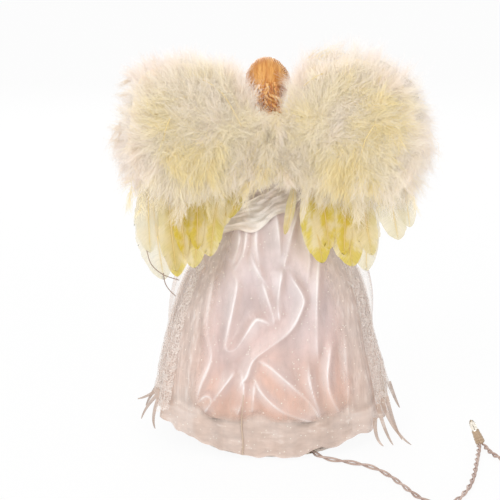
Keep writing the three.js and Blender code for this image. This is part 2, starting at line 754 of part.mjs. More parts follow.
function sleeveGeometry() {
  const start = shoulderPivot.clone().setX(SHOULDER_WIDTH / 2 + 3 * GAP + BODICE_WALL);
  const stations = [
    [start, ARM_WIRE_RADIUS + GAP + SLEEVE_WALL],
    [start.clone().add(vec(SLEEVE_GATHER, 0, 0)), SLEEVE_TOP_RADIUS],
    [start.clone().lerp(upperArm, 0.45).add(vec(ELBOW_OUT * 0.1, 0, 0)), SLEEVE_PUFF_RADIUS],
    [upperArm, lerp(SLEEVE_PUFF_RADIUS, SLEEVE_ELBOW_RADIUS, 0.2)],
    [elbow, SLEEVE_ELBOW_RADIUS],
    [onForearm(0.35), SLEEVE_ELBOW_RADIUS + 0.5],
    [onForearm(0.65), SLEEVE_ELBOW_RADIUS + 1],
    [cuff, SLEEVE_CUFF_RADIUS],
  ];
  const directionAt = (i) => {
    if (i < 2) {
      return vec(1, 0, 0);
    }
    const [before, after] = [stations[i - 1][0], stations[Math.min(i + 1, stations.length - 1)][0]];
    return new THREE.Vector3().subVectors(after, before).normalize();
  };
  const rings = (wall) =>
    stations.map(([centre, radius], i) =>
      ringAt(centre, directionAt(i), vec(0, 0.35, 1), radius - wall, radius - wall, SLEEVE_SIDES),
    );
  const faces = gridFaces(SLEEVE_SIDES, stations.length - 1, true);
  return wallBetween(columnsFirst(rings(0)), columnsFirst(rings(SLEEVE_WALL)), faces);
}

function handGeometry() {
  const fromCuff = ([inwards, forwards, up]) => cuff.clone().add(vec(-inwards, -forwards, up));
  const stations = [
    [handRoot, WRIST_RADIUS, WRIST_RADIUS],
    ...HAND_SHAPE.map((place) => [fromCuff(place), place[3], place[4]]),
  ];
  const rings = stations.map(([centre, width, thick], i) => {
    const before = stations[Math.max(0, i - 1)][0];
    const after = stations[Math.min(i + 1, stations.length - 1)][0];
    const direction = new THREE.Vector3().subVectors(after, before).normalize();
    return ringAt(centre, direction, vec(1, 0, 0), width, thick, 10);
  });
  const thumbPlace = fromCuff(THUMB_PLACE);
  const thumb = ball(THUMB_WIDTH / 2, THUMB_WIDTH / 2, THUMB_LENGTH / 2, 8, 6).rotateX(rad(-20));
  thumb.translate(thumbPlace.x, thumbPlace.y, thumbPlace.z);
  return geometryOf(joined([loft(rings), thumb]));
}

function mirrored(geometry, side) {
  return side > 0 ? geometry : closed(geometry.clone().scale(-1, 1, 1));
}

for (const [name, side] of [['left', 1], ['right', -1]]) {
  addPiece(topper, `arm_wire_${name}`, mirrored(armWireGeometry(), side), wire);
  addPiece(topper, `sleeve_${name}`, mirrored(sleeveGeometry(), side), organza);
  addPiece(topper, `hand_${name}`, mirrored(handGeometry(), side), skin);
}

// Wings: a card hub on the back, and on each side a board with down and long feathers.
// On a wing, x runs out from the fold, y to the back and z up from the pivot.

const wingPivot = vec(
  0,
  CHEST_DEPTH / 2 + GAP + BODICE_WALL + HUB_STAND_OFF,
  shoulderTop + WING_ABOVE_SHOULDER,
);
const wingMount = new THREE.Group();
wingMount.position.copy(wingPivot);
wingMount.rotation.x = rad(WING_TILT);
topper.add(wingMount);

function hubGeometry() {
  const depth = wingPivot.y;
  const plate = box(HINGE_SPACING - 3 * GAP, depth, HUB_HEIGHT);
  plate.translate(0, BOARD_THICK - depth / 2, HUB_TOP - HUB_HEIGHT / 2);
  plate.rotateX(rad(WING_TILT)).translate(wingPivot.x, wingPivot.y, wingPivot.z);
  return geometryOf(cut(solid(plate), [loft(torsoRings(2 * GAP + BODICE_WALL))]));
}

addPiece(topper, 'wing_hub', hubGeometry(), card);

const featherLayer = FEATHER_THICK + GAP;
const downStart = BOARD_THICK + GAP + 2 * featherLayer;
const wingMiddle = vec(FOLD_GAP + WING_FOLD_EASE + WING_WIDTH / 2, 0, WING_RISE);

function boardGeometry() {
  const root = HUB_TOP - HUB_HEIGHT;
  const at = (across, up) => {
    const x = wingMiddle.x + (across * WING_WIDTH) / 2;
    return new THREE.Vector2(x, wingMiddle.z + (up * WING_HEIGHT) / 2);
  };
  const outline = new THREE.Shape();
  outline.moveTo(FOLD_GAP, root);
  outline.lineTo(FOLD_GAP, HUB_TOP);
  outline.splineThru([at(-0.56, 0.15), at(-0.32, 0.66), at(0.2, 0.8), at(0.68, 0.5)]);
  outline.splineThru([at(0.8, 0.02), at(0.6, -0.5), at(0.1, -0.8), at(-0.5, -0.74)]);
  outline.lineTo(FOLD_GAP, root);
  const options = { depth: BOARD_THICK, bevelEnabled: false, curveSegments: 2 };
  const plate = new THREE.ExtrudeGeometry(outline, options);
  return closed(plate.rotateX(Math.PI / 2).translate(0, BOARD_THICK, 0));
}

// Tufts of down round an oval, each leaning out: one in the middle, an inner ring and a rim.
function plumes(widthShare, heightShare, depth) {
  const [w, h] = [(widthShare * WING_WIDTH) / 2, (heightShare * WING_HEIGHT) / 2];
  const ring = (count, reach, long, broad, deep) =>
    Array.from({ length: count }, (_, i) => {
      const angle = (2 * Math.PI * (i + 0.5)) / count;
      const tuft = ball(long * w, deep * depth, broad * h, 8, 6).rotateY(-angle);
      return tuft.translate(reach * w * Math.cos(angle), 0, reach * h * Math.sin(angle));
    });
  const bed = ball(0.78 * w, 0.8 * depth, 0.78 * h, 12, 6);
  const rim = ring(RIM_TUFTS, 0.67, 0.33, 0.31, 0.68);
  const inner = ring(INNER_TUFTS, 0.36, 0.32, 0.29, 0.94);
  return joined([bed, ...rim, ...inner].map((piece) => piece.translate(wingMiddle.x, 0, wingMiddle.z)));
}

const cutter = 2 * (WING_WIDTH + WING_HEIGHT);
const cutterBox = () => box(cutter, cutter, cutter);

// The wedge of air at the fold that lets the wing bend back past the middle tuft.
function foldWedge() {
  const angle = CENTRE_ANGLE + WING_BACK_TRAVEL + WING_SWEEP;
  return cutterBox().translate(-cutter / 2, 0, 0).rotateZ(rad(-angle));
}

function headRoom(width) {
  return cutterBox().translate(width - cutter / 2, 0, cutter / 2 + HUB_TOP);
}

function downBackGeometry(room) {
  const board = cutterBox().translate(0, downStart - cutter / 2, 0);
  return geometryOf(cut(plumes(1, 1, DOWN_DEPTH), [board, foldWedge(), headRoom(room)]));
}

function downFrontGeometry(room) {
  const board = cutterBox().translate(0, cutter / 2 - GAP, 0);
  const low = cutterBox().translate(0, 0, -cutter / 2 - WING_HEIGHT * 0.2);
  const body = cutterBox().translate(room + WING_WIDTH * 0.2 - cutter / 2, 0, 0);
  return geometryOf(cut(plumes(0.94, 0.94, DOWN_FRONT_DEPTH), [board, low, body]));
}

const featherBendStart = WING_RISE - WING_HEIGHT / 2 - FEATHER_BEND_GAP;

// A long feather from its root under the down to its tip, bent back below the board.
function featherGeometry(root, tip, layer) {
  const start = BOARD_THICK + GAP + layer * featherLayer;
  const bendShare = (root.y - featherBendStart) / (root.y - tip.y);
  const quarters = [0, 0.25, 0.5, 0.75, 1];
  const shares = [
    ...quarters.map((share) => share * bendShare),
    ...quarters.slice(1).map((share) => lerp(bendShare, 1, share)),
  ];
  const rings = shares.map((t) => {
    const up = lerp(root.y, tip.y, t);
    const across = lerp(root.x, tip.x, t ** 1.3);
    const bend = FEATHER_BEND_SLOPE * Math.max(0, featherBendStart - up);
    const taper = Math.sin(Math.PI * (0.12 + 0.85 * t ** 0.8)) ** 0.6;
    const half = (FEATHER_WIDTH / 2) * taper;
    return [
      vec(across - half, start + bend, up),
      vec(across, start + bend, up),
      vec(across + half, start + bend, up),
      vec(across + half, start + bend + FEATHER_THICK * 0.5, up),
      vec(across, start + bend + FEATHER_THICK, up),
      vec(across - half, start + bend + FEATHER_THICK * 0.5, up),
    ];
  });
  return loft(rings);
}

// The head leans to the left, so the left wing leaves more room beside it.
const headLean = (headCentre - neckBase) * Math.sin(rad(HEAD_TILT));
const headRoomAt = (side) =>
  HEAD_WIDTH / 2 + HAIR_THICK + HEAD_EASE + side * headLean - HINGE_SPACING / 2;

for (const [name, side] of [['left', 1], ['right', -1]]) {
  const room = headRoomAt(side);
  const wing = new THREE.Group();
  wing.position.x = (side * HINGE_SPACING) / 2;
  wing.rotation.z = rad(side * WING_SWEEP);
  wingMount.add(wing);
  addPiece(wing, `wing_board_${name}`, mirrored(boardGeometry(), side), card);
  addPiece(wing, `down_back_${name}`, mirrored(downBackGeometry(room), side), down);
  addPiece(wing, `down_front_${name}`, mirrored(downFrontGeometry(room), side), down);
  LONG_FEATHERS[name].forEach(([rootShare, tipShare, length], number) => {
    const root = new THREE.Vector2(rootShare * WING_WIDTH, -FEATHER_ROOT_DROP);
    const tip = new THREE.Vector2(tipShare * WING_WIDTH, -FEATHER_ROOT_DROP - length);
    const vane = featherGeometry(root, tip, number % 2);
    addPiece(wing, `long_feather_${name}_${number + 1}`, mirrored(vane, side), feather);
  });
}

// The middle tuft, on the hub between the two wings.
function downCentreGeometry() {
  const tufts = [[-0.1, 1], [-0.5, 0.95], [-0.9, 0.75]].map(([share, size]) => {
    const plume = ball((size * CENTRE_TUFT_WIDTH) / 2, size * DOWN_DEPTH * 1.1, size * HUB_HEIGHT * 0.38);
    return plume.translate(0, 0, HUB_TOP + share * HUB_HEIGHT);
  });
  const hubFace = cutterBox().translate(0, BOARD_THICK + GAP - cutter / 2, 0);
  const sides = [1, -1].map((side) => {
    const wedge = cutterBox().translate((side * cutter) / 2, 0, 0);
    wedge.rotateZ(rad(-side * (CENTRE_ANGLE - 1)));
    return wedge.translate((side * (HINGE_SPACING - 2 * GAP)) / 2, 0, 0);
  });
  return geometryOf(cut(joined(tufts), [hubFace, ...sides]));
}

addPiece(wingMount, 'down_centre', downCentreGeometry(), down);

// Light string: lamps in the cone's holes and the harness along their tails

function lampGeometry() {
  const seat = -LAMP_SEAT_CLEARANCE;
  const flangeBack = seat - LAMP_FLANGE_THICK;
  return turned(
    [
      [0, -LAMP_TAIL],
      [LAMP_BODY_RADIUS * 0.8, -LAMP_TAIL],
      [LAMP_BODY_RADIUS * 0.9, flangeBack],
      [LAMP_FLANGE_RADIUS, flangeBack],
      [LAMP_FLANGE_RADIUS, seat],
      [LAMP_BODY_RADIUS, seat],
      [LAMP_BODY_RADIUS, CONE_WALL + 1],
      [LAMP_BODY_RADIUS * 0.85, LAMP_REACH * 0.6],
      [LAMP_BODY_RADIUS * 0.5, LAMP_REACH * 0.92],
      [0, LAMP_REACH],
    ],
    8,
  );
}

lampSeats.forEach(({ normal, point }, number) => {
  const lamp = addPiece(topper, `lamp_${number + 1}`, lampGeometry(), lampPlastic);
  lamp.position.copy(point);
  lamp.quaternion.copy(aimed(normal));
});

function harnessGeometry() {
  const depth = LAMP_TAIL + HARNESS_RADIUS + GAP + 0.1;
  const tail = ({ angle, height, normal }) => {
    const end = polar(angle, coneInner(height), height).addScaledVector(normal, -depth);
    return { angle, radius: Math.hypot(end.x, end.y), height: end.z };
  };
  const tails = lampSeats.map(tail);
  const mouth = coneInner(0);
  const points = [
    polar(CORD_ANGLE, mouth + 0.1, CORD_HEIGHT),
    polar(CORD_ANGLE, mouth - 5, CORD_HEIGHT),
    polar(CORD_ANGLE + 4, mouth - 10, CORD_HEIGHT + 5),
    polar(CORD_ANGLE + 16, mouth - 17, CORD_HEIGHT + 20),
    polar(CORD_ANGLE + 30, mouth - 23, tails[0].height * 0.78),
  ];
  tails.forEach((here, number) => {
    points.push(polar(here.angle, here.radius, here.height));
    const next = tails[number + 1];
    if (next) {
      const [r, z] = [(here.radius + next.radius) / 2, (here.height + next.height) / 2];
      points.push(polar(here.angle + LAMP_STEP_ANGLE / 2, r, z));
    }
  });
  return tube(points, HARNESS_RADIUS, 6, 48);
}

addPiece(topper, 'lamp_harness', harnessGeometry(), cordPlastic);

// Lead: grommet in the cone's notch, the free stretch, a loose lamp, the coil and the plug

const cordRadius = CORD_DIAMETER / 2;

function grommetGeometry() {
  const middle = CONE_MOUTH_RADIUS - CONE_WALL / 2;
  const block = box(GROMMET_DEPTH, GROMMET_WIDTH, GROMMET_HEIGHT).translate(middle, 0, GROMMET_HEIGHT / 2);
  const bore = rod(cordRadius + GAP, GROMMET_DEPTH + 2 * OVERCUT, 10).rotateY(Math.PI / 2);
  bore.translate(middle, 0, CORD_HEIGHT);
  return geometryOf(cut(solid(block), [bore])).rotateZ(rad(CORD_ANGLE));
}

addPiece(topper, 'cord_grommet', grommetGeometry(), lampPlastic);

const onFloor = ([x, y]) => vec(x, y, CORD_HEIGHT);
const leadStart = polar(CORD_ANGLE, coneInner(0) + 0.5, CORD_HEIGHT);
const leadPoints = [
  [-28.8, 57.2],
  [-31.6, 62.8],
  [-36, 68.5],
  [-42.5, 72.8],
  [-51, 76],
  [-61, 80.5],
  [-72, 88],
  [-82, 102],
  [-90, 119],
  [-97, 135],
  [-104.5, 146],
  [-114, 150],
  [-123.5, 145],
  [-131, 133],
  [-138, 117],
  [-143.5, 98],
  [-147.5, 80],
  [-151, 64],
  [-153.6, 52],
  [-154.6, 44.7],
];
const leadCord = tube([leadStart, ...leadPoints.map(onFloor)], cordRadius, 8, 40);
addPiece(topper, 'lead_cord', leadCord, cordPlastic);

const looseDirection = vec(Math.sin(rad(LOOSE_LAMP_LEAN)), 0, Math.cos(rad(LOOSE_LAMP_LEAN)));
const looseLamp = new THREE.Group();
looseLamp.position.copy(LOOSE_LAMP);
looseLamp.quaternion.copy(aimed(looseDirection));
topper.add(looseLamp);

const holder = turned(
  [
    [0, 0],
    [LOOSE_HOLDER_RADIUS, 0],
    [LOOSE_HOLDER_RADIUS, LOOSE_HOLDER_HEIGHT * 0.3],
    [LOOSE_HOLDER_RADIUS * 0.8, LOOSE_HOLDER_HEIGHT * 0.55],
    [LOOSE_HOLDER_RADIUS * 0.8, LOOSE_HOLDER_HEIGHT],
    [0, LOOSE_HOLDER_HEIGHT],
  ],
  12,
);
addPiece(looseLamp, 'loose_lamp_holder', holder, lampPlastic);

const bulbBase = LOOSE_HOLDER_HEIGHT + GAP;
const bulb = turned(
  [
    [0, bulbBase],
    [LOOSE_BULB_RADIUS * 0.9, bulbBase],
    [LOOSE_BULB_RADIUS, bulbBase + LOOSE_BULB_HEIGHT * 0.4],
    [LOOSE_BULB_RADIUS * 0.8, bulbBase + LOOSE_BULB_HEIGHT * 0.75],
    [LOOSE_BULB_RADIUS * 0.3, bulbBase + LOOSE_BULB_HEIGHT * 0.95],
    [0, bulbBase + LOOSE_BULB_HEIGHT],
  ],
  12,
);
addPiece(looseLamp, 'loose_lamp_bulb', bulb, glass);

// The coil spirals in, climbs a layer in the half turn where it reverses, and spirals out.
function coilPath() {
  const turns = 2 * COIL_TURNS_IN;
  const steps = Math.round(turns * 24);
  const lowest = COIL_OUTER_RADIUS - COIL_PITCH * COIL_TURNS_IN;
  const points = Array.from({ length: steps + 1 }, (_, i) => {
    const turn = (turns * i) / steps;
    const radius = lowest + COIL_PITCH * Math.abs(turn - COIL_TURNS_IN);
    const climb = THREE.MathUtils.smoothstep(turn, COIL_TURNS_IN - 0.25, COIL_TURNS_IN + 0.25);
    const angle = 2 * Math.PI * turn;
    const x = COIL_CENTRE.x + radius * Math.cos(angle);
    const y = COIL_CENTRE.y + radius * Math.sin(angle);
    return vec(x, y, CORD_HEIGHT + COIL_PITCH * climb);
  });
  const [first, last] = [points[0], points[points.length - 1]];
  const straight = [1, 0.5].map((share) => first.clone().add(vec(0, -share * CORD_DIAMETER, 0)));
  const away = [0.5, 1].map((share) => last.clone().add(vec(0, -share * CORD_DIAMETER, 0)));
  return [...straight, ...points, ...away];
}

const coil = coilPath();
addPiece(topper, 'cord_coil', tube(coil, cordRadius, 6, coil.length - 1), cordPlastic);
console.log(`cord_coil least gap to itself: ${selfGap(coil, CORD_DIAMETER).toFixed(2)} mm`);

const coilStart = coil[0].clone().add(vec(0, -GAP, 0));
const linkPoints = [
  [-158.4, 44.7],
  [-159.2, 51],
  [-161, 58.5],
  [-165, 68],
  [-171, 76.5],
  [-175.2, 83],
];
const linkCord = tube([...linkPoints.map(onFloor), coilStart], cordRadius, 8, 12);
addPiece(topper, 'link_cord', linkCord, cordPlastic);

const plug = new THREE.Group();
plug.position.copy(coil[coil.length - 1]).add(vec(0, -GAP, 0));
topper.add(plug);

// On the plug, y runs back along the cord and z is up from the cord's centre.
const plugFace = -RELIEF_LENGTH - PLUG_LENGTH;
const coverSeat = PLUG_HEIGHT / 2 - FUSE_COVER_THICK;

function plugGeometry() {
  const rectangle = (width, height, y) => {
    const r = Math.min(PLUG_CORNER, 0.45 * width, 0.45 * height);
    const corners = [[1, -1], [1, 1], [-1, 1], [-1, -1]];
    return corners.flatMap(([x, z], i) => {
      const side = vec((x * width) / 2, y, z * (height / 2 - r));
      const end = vec(x * (width / 2 - r), y, (z * height) / 2);
      return i % 2 === 0 ? [end, side] : [side, end];
    });
  };
  const body = loft([
    rectangle(CORD_DIAMETER * 1.5, CORD_DIAMETER * 1.5, 0),
    rectangle(CORD_DIAMETER * 2, CORD_DIAMETER * 1.9, -RELIEF_LENGTH * 0.9),
    rectangle(PLUG_WIDTH * 0.8, PLUG_HEIGHT * 0.9, -RELIEF_LENGTH),
    rectangle(PLUG_WIDTH, PLUG_HEIGHT, -RELIEF_LENGTH - PLUG_LENGTH * 0.25),
    rectangle(PLUG_WIDTH, PLUG_HEIGHT, plugFace),
  ]);
  const length = FUSE_COVER_LENGTH + FUSE_COVER_TRAVEL + GAP;
  const recess = box(FUSE_COVER_WIDTH + 2 * GAP, length + OVERCUT, FUSE_COVER_THICK + GAP + OVERCUT);
  const recessMiddle = coverSeat - GAP + (FUSE_COVER_THICK + GAP + OVERCUT) / 2;
  recess.translate(0, plugFace + length / 2 - OVERCUT / 2, recessMiddle);
  return geometryOf(cut(solid(body), [recess]));
}

addPiece(plug, 'plug_body', plugGeometry(), cordPlastic);

function bladeGeometry() {
  const [w, r] = [BLADE_WIDTH / 2, BLADE_WIDTH * 0.25];
  const outline = new THREE.Shape();
  outline.moveTo(w, 0);
  outline.lineTo(w, BLADE_LENGTH - r);
  outline.lineTo(w - r, BLADE_LENGTH);
  outline.lineTo(-w + r, BLADE_LENGTH);
  outline.lineTo(-w, BLADE_LENGTH - r);
  outline.lineTo(-w, 0);
  const eye = new THREE.Path();
  eye.absarc(0, BLADE_LENGTH * 0.75, BLADE_EYE_RADIUS, 0, 2 * Math.PI, true);
  outline.holes.push(eye);
  const options = { depth: BLADE_THICK, bevelEnabled: false, curveSegments: 4 };
  const blade = new THREE.ExtrudeGeometry(outline, options);
  blade.translate(0, 0, -BLADE_THICK / 2).rotateY(Math.PI / 2).rotateX(Math.PI);
  return closed(blade);
}

for (const [name, side] of [['left', 1], ['right', -1]]) {
  const blade = addPiece(plug, `plug_blade_${name}`, bladeGeometry(), brass);
  blade.position.set((side * BLADE_SPACING) / 2, plugFace - GAP, -FUSE_COVER_THICK);
}

const coverPlate = closed(box(FUSE_COVER_WIDTH, FUSE_COVER_LENGTH, FUSE_COVER_THICK));
const cover = addPiece(plug, 'fuse_cover', coverPlate, cordPlastic);
const coverStart = plugFace + FUSE_COVER_TRAVEL + FUSE_COVER_LENGTH / 2;
cover.position.set(0, coverStart, coverSeat + FUSE_COVER_THICK / 2);

export default topper;
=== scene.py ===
# %% [markdown]
# # Angel tree topper
# A dressed doll on an open cone that slips over the top shoot of a tree. It is seen from behind: two wings
# of marabou down, long yellow feathers, combed hair, a satin skirt under glittering organza, and a light
# lead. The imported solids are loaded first, because every piece made here rides on one of their bodies.

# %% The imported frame
import math

import bmesh
import bpy
import numpy as np
from mathutils import Matrix, Vector


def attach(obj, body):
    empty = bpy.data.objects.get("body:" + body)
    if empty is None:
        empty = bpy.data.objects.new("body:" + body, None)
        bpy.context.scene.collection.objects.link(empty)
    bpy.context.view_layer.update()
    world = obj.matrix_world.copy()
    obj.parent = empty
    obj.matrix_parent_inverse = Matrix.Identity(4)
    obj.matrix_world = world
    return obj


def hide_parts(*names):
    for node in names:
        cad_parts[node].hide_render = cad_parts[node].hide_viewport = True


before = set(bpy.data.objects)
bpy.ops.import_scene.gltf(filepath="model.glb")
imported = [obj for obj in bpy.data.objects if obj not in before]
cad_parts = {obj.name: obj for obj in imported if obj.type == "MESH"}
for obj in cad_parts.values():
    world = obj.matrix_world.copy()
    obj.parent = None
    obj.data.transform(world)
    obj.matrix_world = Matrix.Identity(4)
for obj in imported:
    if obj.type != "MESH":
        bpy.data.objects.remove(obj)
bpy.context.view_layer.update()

MM = 0.001
rng = np.random.default_rng(12)

# %% [markdown]
# ## Camera
# The photograph looks slightly down at the doll's back from about a metre away. A long lens at that
# distance gives the same flat perspective.

# %% Camera
CAMERA_TARGET = Vector((17.5, 0, 142)) * MM
CAMERA_DISTANCE = 1130 * MM
CAMERA_ELEVATION = math.radians(15)
CAMERA_LENS = 107.5

scene = bpy.context.scene
scene.view_settings.view_transform = "Standard"
camera = bpy.data.objects.new("camera", bpy.data.cameras.new("camera"))
scene.collection.objects.link(camera)
towards_camera = Vector((0, math.cos(CAMERA_ELEVATION), math.sin(CAMERA_ELEVATION)))
camera.data.lens = CAMERA_LENS
camera.data.clip_end = 20
camera.location = CAMERA_TARGET + towards_camera * CAMERA_DISTANCE
camera.rotation_mode = "QUATERNION"
camera.rotation_quaternion = (-towards_camera).to_track_quat("-Z", "Y")
scene.camera = camera
print("camera at", [round(value, 3) for value in camera.location])

# %% [markdown]
# ## Node helpers
# Every finish is a small node tree. These helpers add a node, set its inputs by name and join what is
# passed as a socket, so that a material reads as a list of what it is made of.

# %% Node helpers


def srgb(red, green, blue):
    """A colour as it is seen, 0 to 255, in the linear values that a shader takes."""
    seen = np.array([red, green, blue]) / 255
    linear = np.where(seen <= 0.04045, seen / 12.92, ((seen + 0.055) / 1.055) ** 2.4)
    return (*(float(value) for value in linear), 1.0)


def add(tree, kind, inputs=None, **settings):
    node = tree.nodes.new("ShaderNode" + kind)
    for name, value in settings.items():
        setattr(node, name, value)
    for name, value in (inputs or {}).items():
        if isinstance(value, bpy.types.NodeSocket):
            tree.links.new(value, node.inputs[name])
        else:
            node.inputs[name].default_value = value
    return node


def maths(tree, operation, first, second=0.0):
    return add(tree, "Math", {0: first, 1: second}, operation=operation).outputs[0]


def ramp(tree, factor, stops):
    """A colour ramp through (place, colour) stops."""
    node = add(tree, "ValToRGB", {"Fac": factor})
    elements = node.color_ramp.elements
    while len(elements) < len(stops):
        elements.new(0.5)
    for element, (place, colour) in zip(elements, stops):
        element.position = place
        element.color = colour
    return node.outputs["Color"]


def grey(value):
    return (value, value, value, 1.0)


def mixed(tree, factor, first, second, way="MIX"):
    node = add(tree, "Mix", {0: factor, 6: first, 7: second}, data_type="RGBA", blend_type=way)
    return node.outputs[2]


def times(tree, first, second):
    return mixed(tree, 1.0, first, second, "MULTIPLY")


def attribute(tree, name):
    return add(tree, "Attribute", attribute_name=name).outputs["Fac"]


def new_finish(name, roughness, colour=None, **constants):
    """A material with a Principled shader and the values that are the same all over it."""
    material = bpy.data.materials.new(name)
    material.use_nodes = True
    tree = material.node_tree
    shader = tree.nodes["Principled BSDF"]
    shader.inputs["Roughness"].default_value = roughness
    if colour is not None:
        shader.inputs["Base Color"].default_value = colour
    for socket, value in constants.items():
        shader.inputs[socket.replace("_", " ")].default_value = value
    return material, tree, shader


print("node helpers ready")

# %% [markdown]
# ## Finish helpers
# Hardly anything on a handmade topper has one even colour: moulded plastic, card and vinyl all wander a
# little. A mottled finish mixes two tones by soft noise and may add a fine grain by bump. Down and feathers
# let light through, which a translucent share of the surface gives at less cost than true scattering.

# %% Finish helpers


def bump(tree, shader, height, distance, strength):
    node = add(tree, "Bump", {"Height": height, "Distance": distance, "Strength": strength})
    tree.links.new(node.outputs[0], shader.inputs["Normal"])


def colour_with(tree, shader, colour):
    tree.links.new(colour, shader.inputs["Base Color"])


def place_of(tree):
    return add(tree, "TexCoord").outputs["Object"]


def noise(tree, vector, scale, detail=3.0):
    return add(tree, "TexNoise", {"Vector": vector, "Scale": scale, "Detail": detail}).outputs[0]


def drawn_noise(tree, vector, scales, detail=3.0):
    """Noise that is drawn out by a scale of its own along each axis."""
    mapped = add(tree, "Mapping", {"Vector": vector, "Scale": scales}).outputs[0]
    return noise(tree, mapped, 1.0, detail)


def mottled(name, roughness, low, high, scale, detail=3.0, stops=(0.3, 0.7), grain=None, **constants):
    """A finish that wanders between two colours, with a grain of (scale, distance, strength) where given."""
    material, tree, shader = new_finish(name, roughness, **constants)
    cloud = noise(tree, place_of(tree), scale, detail)
    colour_with(tree, shader, ramp(tree, cloud, list(zip(stops, (low, high)))))
    if grain:
        bump(tree, shader, noise(tree, place_of(tree), grain[0], detail), *grain[1:])
    return material


def let_through(tree, shader, colour, share):
    """The shader's surface, through which a share of the light passes."""
    glow = add(tree, "BsdfTranslucent", {"Color": colour})
    return add(tree, "MixShader", {0: share, 1: shader.outputs[0], 2: glow.outputs[0]}).outputs[0]


def show(tree, surface):
    tree.links.new(surface, tree.nodes["Material Output"].inputs["Surface"])


print("finish helpers ready")

# %% [markdown]
# ## Floor and light
# The topper stands in plain bright studio light. The floor glows white only to the camera and in
# reflections, and still takes a part of the real light, so the shadow stays. The world is white to the
# camera in the same way.

# %% Floor and light
FLOOR_SIZE = 16.0
FLOOR_GLOW = 0.93
FLOOR_GREY = 0.9
AMBIENT = 0.72
# Name, place in metres, power in watts and size in metres.
SOFTBOXES = [
    ("key_light", (0.75, 1.15, 1.1), 8.5, 0.7),
    ("fill_light", (-0.7, 1.35, 0.3), 5.2, 0.9),
    ("front_light", (0.1, -1.3, 0.9), 7.0, 1.0),
]


def seen_directly(tree):
    """1 for camera, glossy and transmission rays, and 0 for the light that falls on things."""
    path = add(tree, "LightPath").outputs
    glossy = maths(tree, "MAXIMUM", path["Is Camera Ray"], path["Is Glossy Ray"])
    return maths(tree, "MAXIMUM", glossy, path["Is Transmission Ray"])


def studio_floor():
    bm = bmesh.new()
    bmesh.ops.create_grid(bm, x_segments=1, y_segments=1, size=FLOOR_SIZE / 2)
    mesh = bpy.data.meshes.new("studio_floor")
    bm.to_mesh(mesh)
    bm.free()
    material = bpy.data.materials.new("studio_floor")
    material.use_nodes = True
    tree = material.node_tree
    tree.nodes.clear()
    paint = add(tree, "BsdfDiffuse", {"Color": grey(FLOOR_GREY)})
    glow = add(tree, "Emission", {"Color": grey(1.0), "Strength": 1.0})
    share = maths(tree, "MULTIPLY", seen_directly(tree), FLOOR_GLOW)
    both = add(tree, "MixShader", {0: share, 1: paint.outputs[0], 2: glow.outputs[0]})
    add(tree, "OutputMaterial", {"Surface": both.outputs[0]})
    mesh.materials.append(material)
    floor = bpy.data.objects.new("studio_floor", mesh)
    scene.collection.objects.link(floor)


def studio_world():
    world = bpy.data.worlds.new("studio")
    world.use_nodes = True
    tree = world.node_tree
    background = tree.nodes["Background"]
    background.inputs["Color"].default_value = grey(1.0)
    share = maths(tree, "MULTIPLY", seen_directly(tree), 1.0 - AMBIENT)
    strength = maths(tree, "ADD", share, AMBIENT)
    tree.links.new(strength, background.inputs["Strength"])
    scene.world = world


def softbox(name, place, power, size):
    light = bpy.data.lights.new(name, "AREA")
    light.energy = power
    light.size = size
    lamp = bpy.data.objects.new(name, light)
    lamp.location = place
    lamp.rotation_mode = "QUATERNION"
    lamp.rotation_quaternion = (CAMERA_TARGET - Vector(place)).to_track_quat("-Z", "Y")
    scene.collection.objects.link(lamp)


studio_floor()
studio_world()
for row in SOFTBOXES:
    softbox(*row)
print("floor, world and three soft lights")

# %% [markdown]
# ## Mesh helpers
# Most of the topper is thin: cloth, fibre and strand. Three helpers cover that. A cloth is a grid that a
# formula bends into place. A comb is one wide grid with every second column of faces cut out, which leaves
# thousands of separate ribbons for fibres. Strands are curves with a round bevel, turned into a mesh.

# %% Mesh helpers
MERGE_DISTANCE = 1e-7


def points_of(mesh):
    flat = np.zeros(len(mesh.vertices) * 3)
    mesh.vertices.foreach_get("co", flat)
    return flat.reshape(-1, 3)


def move_points(mesh, points):
    """Puts the mesh's points at places given in millimetres."""
    mesh.vertices.foreach_set("co", (np.asarray(points) * MM).ravel())
    mesh.update()


def mesh_from(bm):
    mesh = bpy.data.meshes.new("mesh")
    bm.to_mesh(mesh)
    bm.free()
    return mesh


def cloth(columns, rows, place, closed=False):
    """A grid bent by place(across, along), which gives millimetres for shares from 0 to 1."""
    bm = bmesh.new()
    bm.loops.layers.uv.new("UVMap")
    bmesh.ops.create_grid(bm, x_segments=columns, y_segments=rows, size=0.5, calc_uvs=True)
    mesh = mesh_from(bm)
    shares = points_of(mesh) + 0.5
    move_points(mesh, place(shares[:, 0], shares[:, 1]))
    if closed:
        bm = bmesh.new()
        bm.from_mesh(mesh)
        bmesh.ops.remove_doubles(bm, verts=bm.verts, dist=MERGE_DISTANCE)
        bmesh.ops.recalc_face_normals(bm, faces=bm.faces)
        bm.to_mesh(mesh)
        bm.free()
    mesh.shade_smooth()
    return mesh


def comb(count, segments):
    """Separate ribbons, with each point's ribbon number, side (0 or 1) and share along it."""
    columns = 2 * count - 1
    bm = bmesh.new()
    bmesh.ops.create_grid(bm, x_segments=columns, y_segments=segments, size=0.5)
    between = [face for number, face in enumerate(bm.faces) if number % columns % 2]
    bmesh.ops.delete(bm, geom=between, context="FACES")
    mesh = mesh_from(bm)
    shares = points_of(mesh) + 0.5
    column = np.rint(shares[:, 0] * columns).astype(int)
    return mesh, column // 2, column % 2, shares[:, 1]


